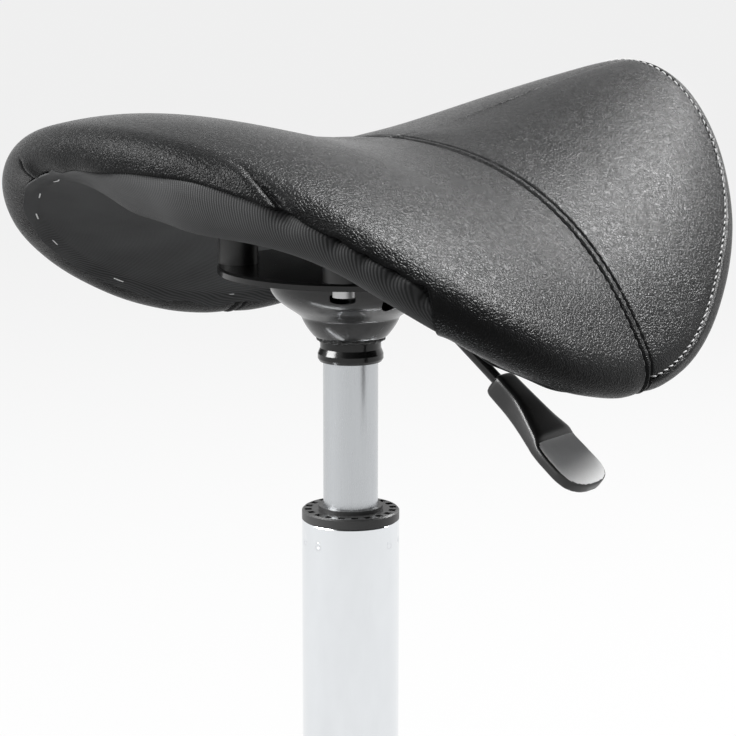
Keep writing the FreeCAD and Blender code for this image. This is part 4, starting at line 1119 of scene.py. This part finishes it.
class STOOL_OT_staples(bpy.types.Operator):
    """Drive the wire staples along the fabric's edge."""

    bl_idname = "stool.staples"
    bl_label = "Staples"

    def execute(self, context):
        work = bmesh.new()
        for along, inside in STAPLES_SEEN + STAPLES_UNSEEN:
            angle = np.array([math.radians(along)])
            run = fabric_edge(angle) + inside
            lift = 1.0 + FABRIC_LAP * (1 - ease(inside, 1, 9)) * (1 - float(tucked(angle)[0]))
            here = (SKIN.point(angle, run) + SKIN.normal(angle, run) * lift)[0]
            ahead = unit(SKIN.point(angle + 0.02, fabric_edge(angle + 0.02) + inside)[0]
                         - SKIN.point(angle - 0.02, fabric_edge(angle - 0.02) + inside)[0])
            up = SKIN.normal(angle, run)[0]
            wire_staple(work, here, ahead, up)
        dress(closed("staple_row", work), "bare_steel", "seat", "zinc_steel", "cover_staples")
        return {"FINISHED"}


class STOOL_OT_lever(bpy.types.Operator):
    """Mould the lever's paddle with its flat pad."""

    bl_idname = "stool.lever"
    bl_label = "Lever paddle"

    def execute(self, context):
        start, down, across, up = lever_frame()
        rings = []
        for share in np.r_[np.linspace(0, 0.05, 8), np.linspace(0.07, 0.9, 48), np.linspace(0.91, 1.0, 18)]:
            width, high, low = (
                smooth_through(PADDLE_FORM[:, 0], PADDLE_FORM[:, column], share) for column in (1, 2, 3))
            ring = []
            for turn in np.linspace(0, 2 * math.pi, 48, endpoint=False):
                c, s = math.cos(turn), math.sin(turn)
                x = width * math.copysign(abs(c) ** 0.34, c)
                z = (high + low) / 2 + (high - low) / 2 * math.copysign(abs(s) ** 0.42, s)
                ring.append(start + down * (share * PADDLE_LENGTH) + across * x + up * z)
            rings.append(ring)
        paddle = loft("lever_grip", rings)
        dress(paddle, "grip_plastic", "lever", "grey_plastic", "lever_paddle")
        paddle.data.materials.append(bpy.data.materials["grip_pad"])
        for face in paddle.data.polygons:
            centre = face.center / MM - start
            level = abs(face.normal.dot(up)) > 0.93
            if level and centre.dot(up) > 0 and centre.dot(down) > PAD_START * PADDLE_LENGTH:
                face.material_index = 1
        return {"FINISHED"}


class STOOL_OT_bowl(bpy.types.Operator):
    """Press the bowl under the seat plate, cut its two slots and its mouth, and run the weld below it."""

    bl_idname = "stool.bowl"
    bl_label = "Lift bowl"

    def execute(self, context):
        profile = rounded(BOWL_OUTSIDE) + rounded(BOWL_INSIDE)
        bowl = lathe("pressed_bowl", [(radius, COLUMN_TOP + height) for radius, height in profile], 160)
        cutters = [bowl_slot(heading, *SLOT) for heading in SLOT_HEADINGS]
        cutters.append(bowl_slot(MOUTH_HEADING, *MOUTH))
        carve(bowl, cutters)
        bowl.data.shade_smooth()
        sharpen(bowl, 40)
        # The bowl takes the copy of the black enamel that is painted lighter, as painted light.
        dress(bowl, "bowl_enamel_painted_lighter", "seat", "black_steel", "lift_bowl")
        bead = [(WELD_RADIUS + math.cos(turn), COLUMN_TOP + WELD_HEIGHT + 1.25 * math.sin(turn))
                for turn in np.linspace(0, 2 * math.pi, 14, endpoint=False)]

        def ripple(point, turn):
            swell = (1 + 0.02 * math.sin(turn * 47) + 0.016 * math.sin(turn * 29 + 1)
                     + 0.012 * math.sin(turn * 71))
            return Vector((point.x * swell, point.y * swell, point.z + 0.25 * math.sin(turn * 19)))

        weld = lathe("bowl_weld", bead, 240, ripple)
        dress(weld, "enamel", "seat", "black_steel")
        return {"FINISHED"}


def bowl_slot(heading, low, high, half, squash):
    """A radial cutter with round ends, standing between two heights over the column's top."""
    rise = half * squash
    outline = []
    for turn in np.linspace(0, 2 * math.pi, 32, endpoint=False):
        c, s = math.cos(turn), math.sin(turn)
        if high - low > 2 * rise:
            middle = high - rise if s > 0 else low + rise
        else:
            middle = (high + low) / 2
        outline.append((half * c, COLUMN_TOP + middle + rise * s))
    out = level_out(heading)
    side = Vector((-out.y, out.x, 0))
    rings = [[out * reach + side * x + Vector((0, 0, z)) for x, z in outline] for reach in (20, 55)]
    return loft("slot_cutter", rings)


class STOOL_OT_column(bpy.types.Operator):
    """Draw the outer column with the two dimples that hold its guide."""

    bl_idname = "stool.column"
    bl_label = "Column"

    def execute(self, context):
        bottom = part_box("lift_column")[0].z / MM
        heights = np.r_[
            bottom, np.linspace(bottom + TAPER_HEIGHT, COLUMN_TOP - 26, 12),
            np.linspace(COLUMN_TOP - 25, COLUMN_TOP - 8, 50), COLUMN_TOP - 3, COLUMN_TOP - 0.8]
        profile = [(COLUMN_RADIUS - max(0, bottom + TAPER_HEIGHT - height) * (TAPER / TAPER_HEIGHT), height)
                   for height in heights]
        profile += [(COLUMN_LIP, COLUMN_TOP), (COLUMN_BORE, COLUMN_TOP), (COLUMN_BORE, bottom + 3),
                    (COLUMN_HOLE, bottom + 3), (COLUMN_HOLE, bottom)]
        marks = [(math.radians(first + third), COLUMN_TOP - 10)
                 for first in DIMPLE_HEADINGS for third in (0, 120, 240)]

        def dimple(point, turn):
            if point.xy.length < COLUMN_BORE + 0.5:
                return point
            depth = 0
            for mark, height in marks:
                apart = math.hypot((turn - mark) * COLUMN_RADIUS, point.z - height)
                depth += 0.9 * math.exp(-(apart / 1.6) ** 2)
            reach = 1 - depth / point.xy.length
            return Vector((point.x * reach, point.y * reach, point.z))

        column = lathe("outer_column", profile, 288, dimple)
        sharpen(column)
        dress(column, "column_chrome", "base", "chrome_plate", "lift_column")
        return {"FINISHED"}


class STOOL_OT_stage(bpy.types.Operator):
    """Lay the floor, hang the lamps and set the camera."""

    bl_idname = "stool.stage"
    bl_label = "Stage"

    def execute(self, context):
        scene = context.scene
        stage = scene.stool_stage
        half = stage.floor_size / 2
        work = bmesh.new()
        corners = ((-1, -1), (1, -1), (1, 1), (-1, 1))
        work.faces.new([work.verts.new((x * half, y * half, 0)) for x, y in corners])
        floor = from_bmesh("floor", work)
        graph = Graph("floor_paint")
        flat = graph.node("ShaderNodeBsdfDiffuse", {}, {"Color": (0.24, 0.24, 0.24, 1)})
        white = graph.node("ShaderNodeEmission", {}, {"Color": (1, 1, 1, 1), "Strength": 1.0})
        mixed = graph.node("ShaderNodeMixShader", {}, {
            0: graph.seen_white() * (1 - stage.shadow), 1: flat, 2: white})
        graph.node("ShaderNodeOutputMaterial", {}, {"Surface": mixed})
        floor.data.materials.append(graph.owner)
        self.light(scene)
        camera = bpy.data.objects.new("camera", bpy.data.cameras.new("camera"))
        scene.collection.objects.link(camera)
        camera.location = (*CAMERA_PLACE, stage.camera_height)
        toward = -Vector((*CAMERA_PLACE, 0)).normalized() * math.cos(CAMERA_TILT)
        toward.z = -math.sin(CAMERA_TILT)
        camera.rotation_euler = toward.to_track_quat("-Z", "Y").to_euler()
        camera.data.sensor_width = 36
        camera.data.lens = CAMERA_LENS
        camera.data.shift_x = CAMERA_SHIFT
        camera.data.clip_end = 100
        scene.camera = camera
        scene.view_settings.view_transform = "Standard"
        return {"FINISHED"}

    def light(self, scene):
        graph = Graph("studio", "worlds")
        scene.world = graph.owner
        dim = graph.node("ShaderNodeBackground", {}, {0: (0.95, 0.97, 1.0, 1), 1: scene.stool_stage.sky})
        white = graph.node("ShaderNodeBackground", {}, {0: (1, 1, 1, 1), 1: 1.0})
        mixed = graph.node("ShaderNodeMixShader", {}, {0: graph.seen_white(), 1: dim, 2: white})
        graph.node("ShaderNodeOutputWorld", {}, {"Surface": mixed})
        for name, heading, height, distance, side, power in LAMPS:
            lamp = bpy.data.objects.new(name, bpy.data.lights.new(name, "AREA"))
            scene.collection.objects.link(lamp)
            level = math.cos(math.radians(height))
            toward = Vector((
                math.cos(math.radians(heading)) * level, math.sin(math.radians(heading)) * level,
                math.sin(math.radians(height))))
            lamp.location = LAMPS_AROUND + toward * distance
            lamp.rotation_euler = (-toward).to_track_quat("-Z", "Y").to_euler()
            lamp.data.shape = "SQUARE"
            lamp.data.size = side
            lamp.data.energy = power


class STOOL_PT_panel(bpy.types.Panel):
    """The stool's pieces in the 3D view's sidebar."""

    bl_idname = "STOOL_PT_panel"
    bl_label = "Saddle stool"
    bl_space_type = "VIEW_3D"
    bl_region_type = "UI"
    bl_category = "Stool"

    def draw(self, context):
        for operator in OPERATORS:
            self.layout.operator(operator.bl_idname)
        for group in GROUPS:
            settings = getattr(context.scene, group)
            for name in settings.__annotations__:
                self.layout.prop(settings, name)


OPERATORS = (STOOL_OT_finishes, STOOL_OT_leather, STOOL_OT_stitching, STOOL_OT_fabric, STOOL_OT_staples,
             STOOL_OT_lever, STOOL_OT_bowl, STOOL_OT_column, STOOL_OT_stage)
GROUPS = {"stool_seat": SeatSettings, "stool_metal": MetalSettings, "stool_stage": StageSettings}


def register():
    for group, settings in GROUPS.items():
        bpy.utils.register_class(settings)
        setattr(bpy.types.Scene, group, bpy.props.PointerProperty(type=settings))
    for operator in OPERATORS:
        bpy.utils.register_class(operator)
    bpy.utils.register_class(STOOL_PT_panel)


def unregister():
    bpy.utils.unregister_class(STOOL_PT_panel)
    for operator in reversed(OPERATORS):
        bpy.utils.unregister_class(operator)
    for group, settings in GROUPS.items():
        delattr(bpy.types.Scene, group)
        bpy.utils.unregister_class(settings)


def main():
    register()
    for operator in OPERATORS:
        group, name = operator.bl_idname.split(".")
        getattr(getattr(bpy.ops, group), name)()


if __name__ == "__main__":
    main()
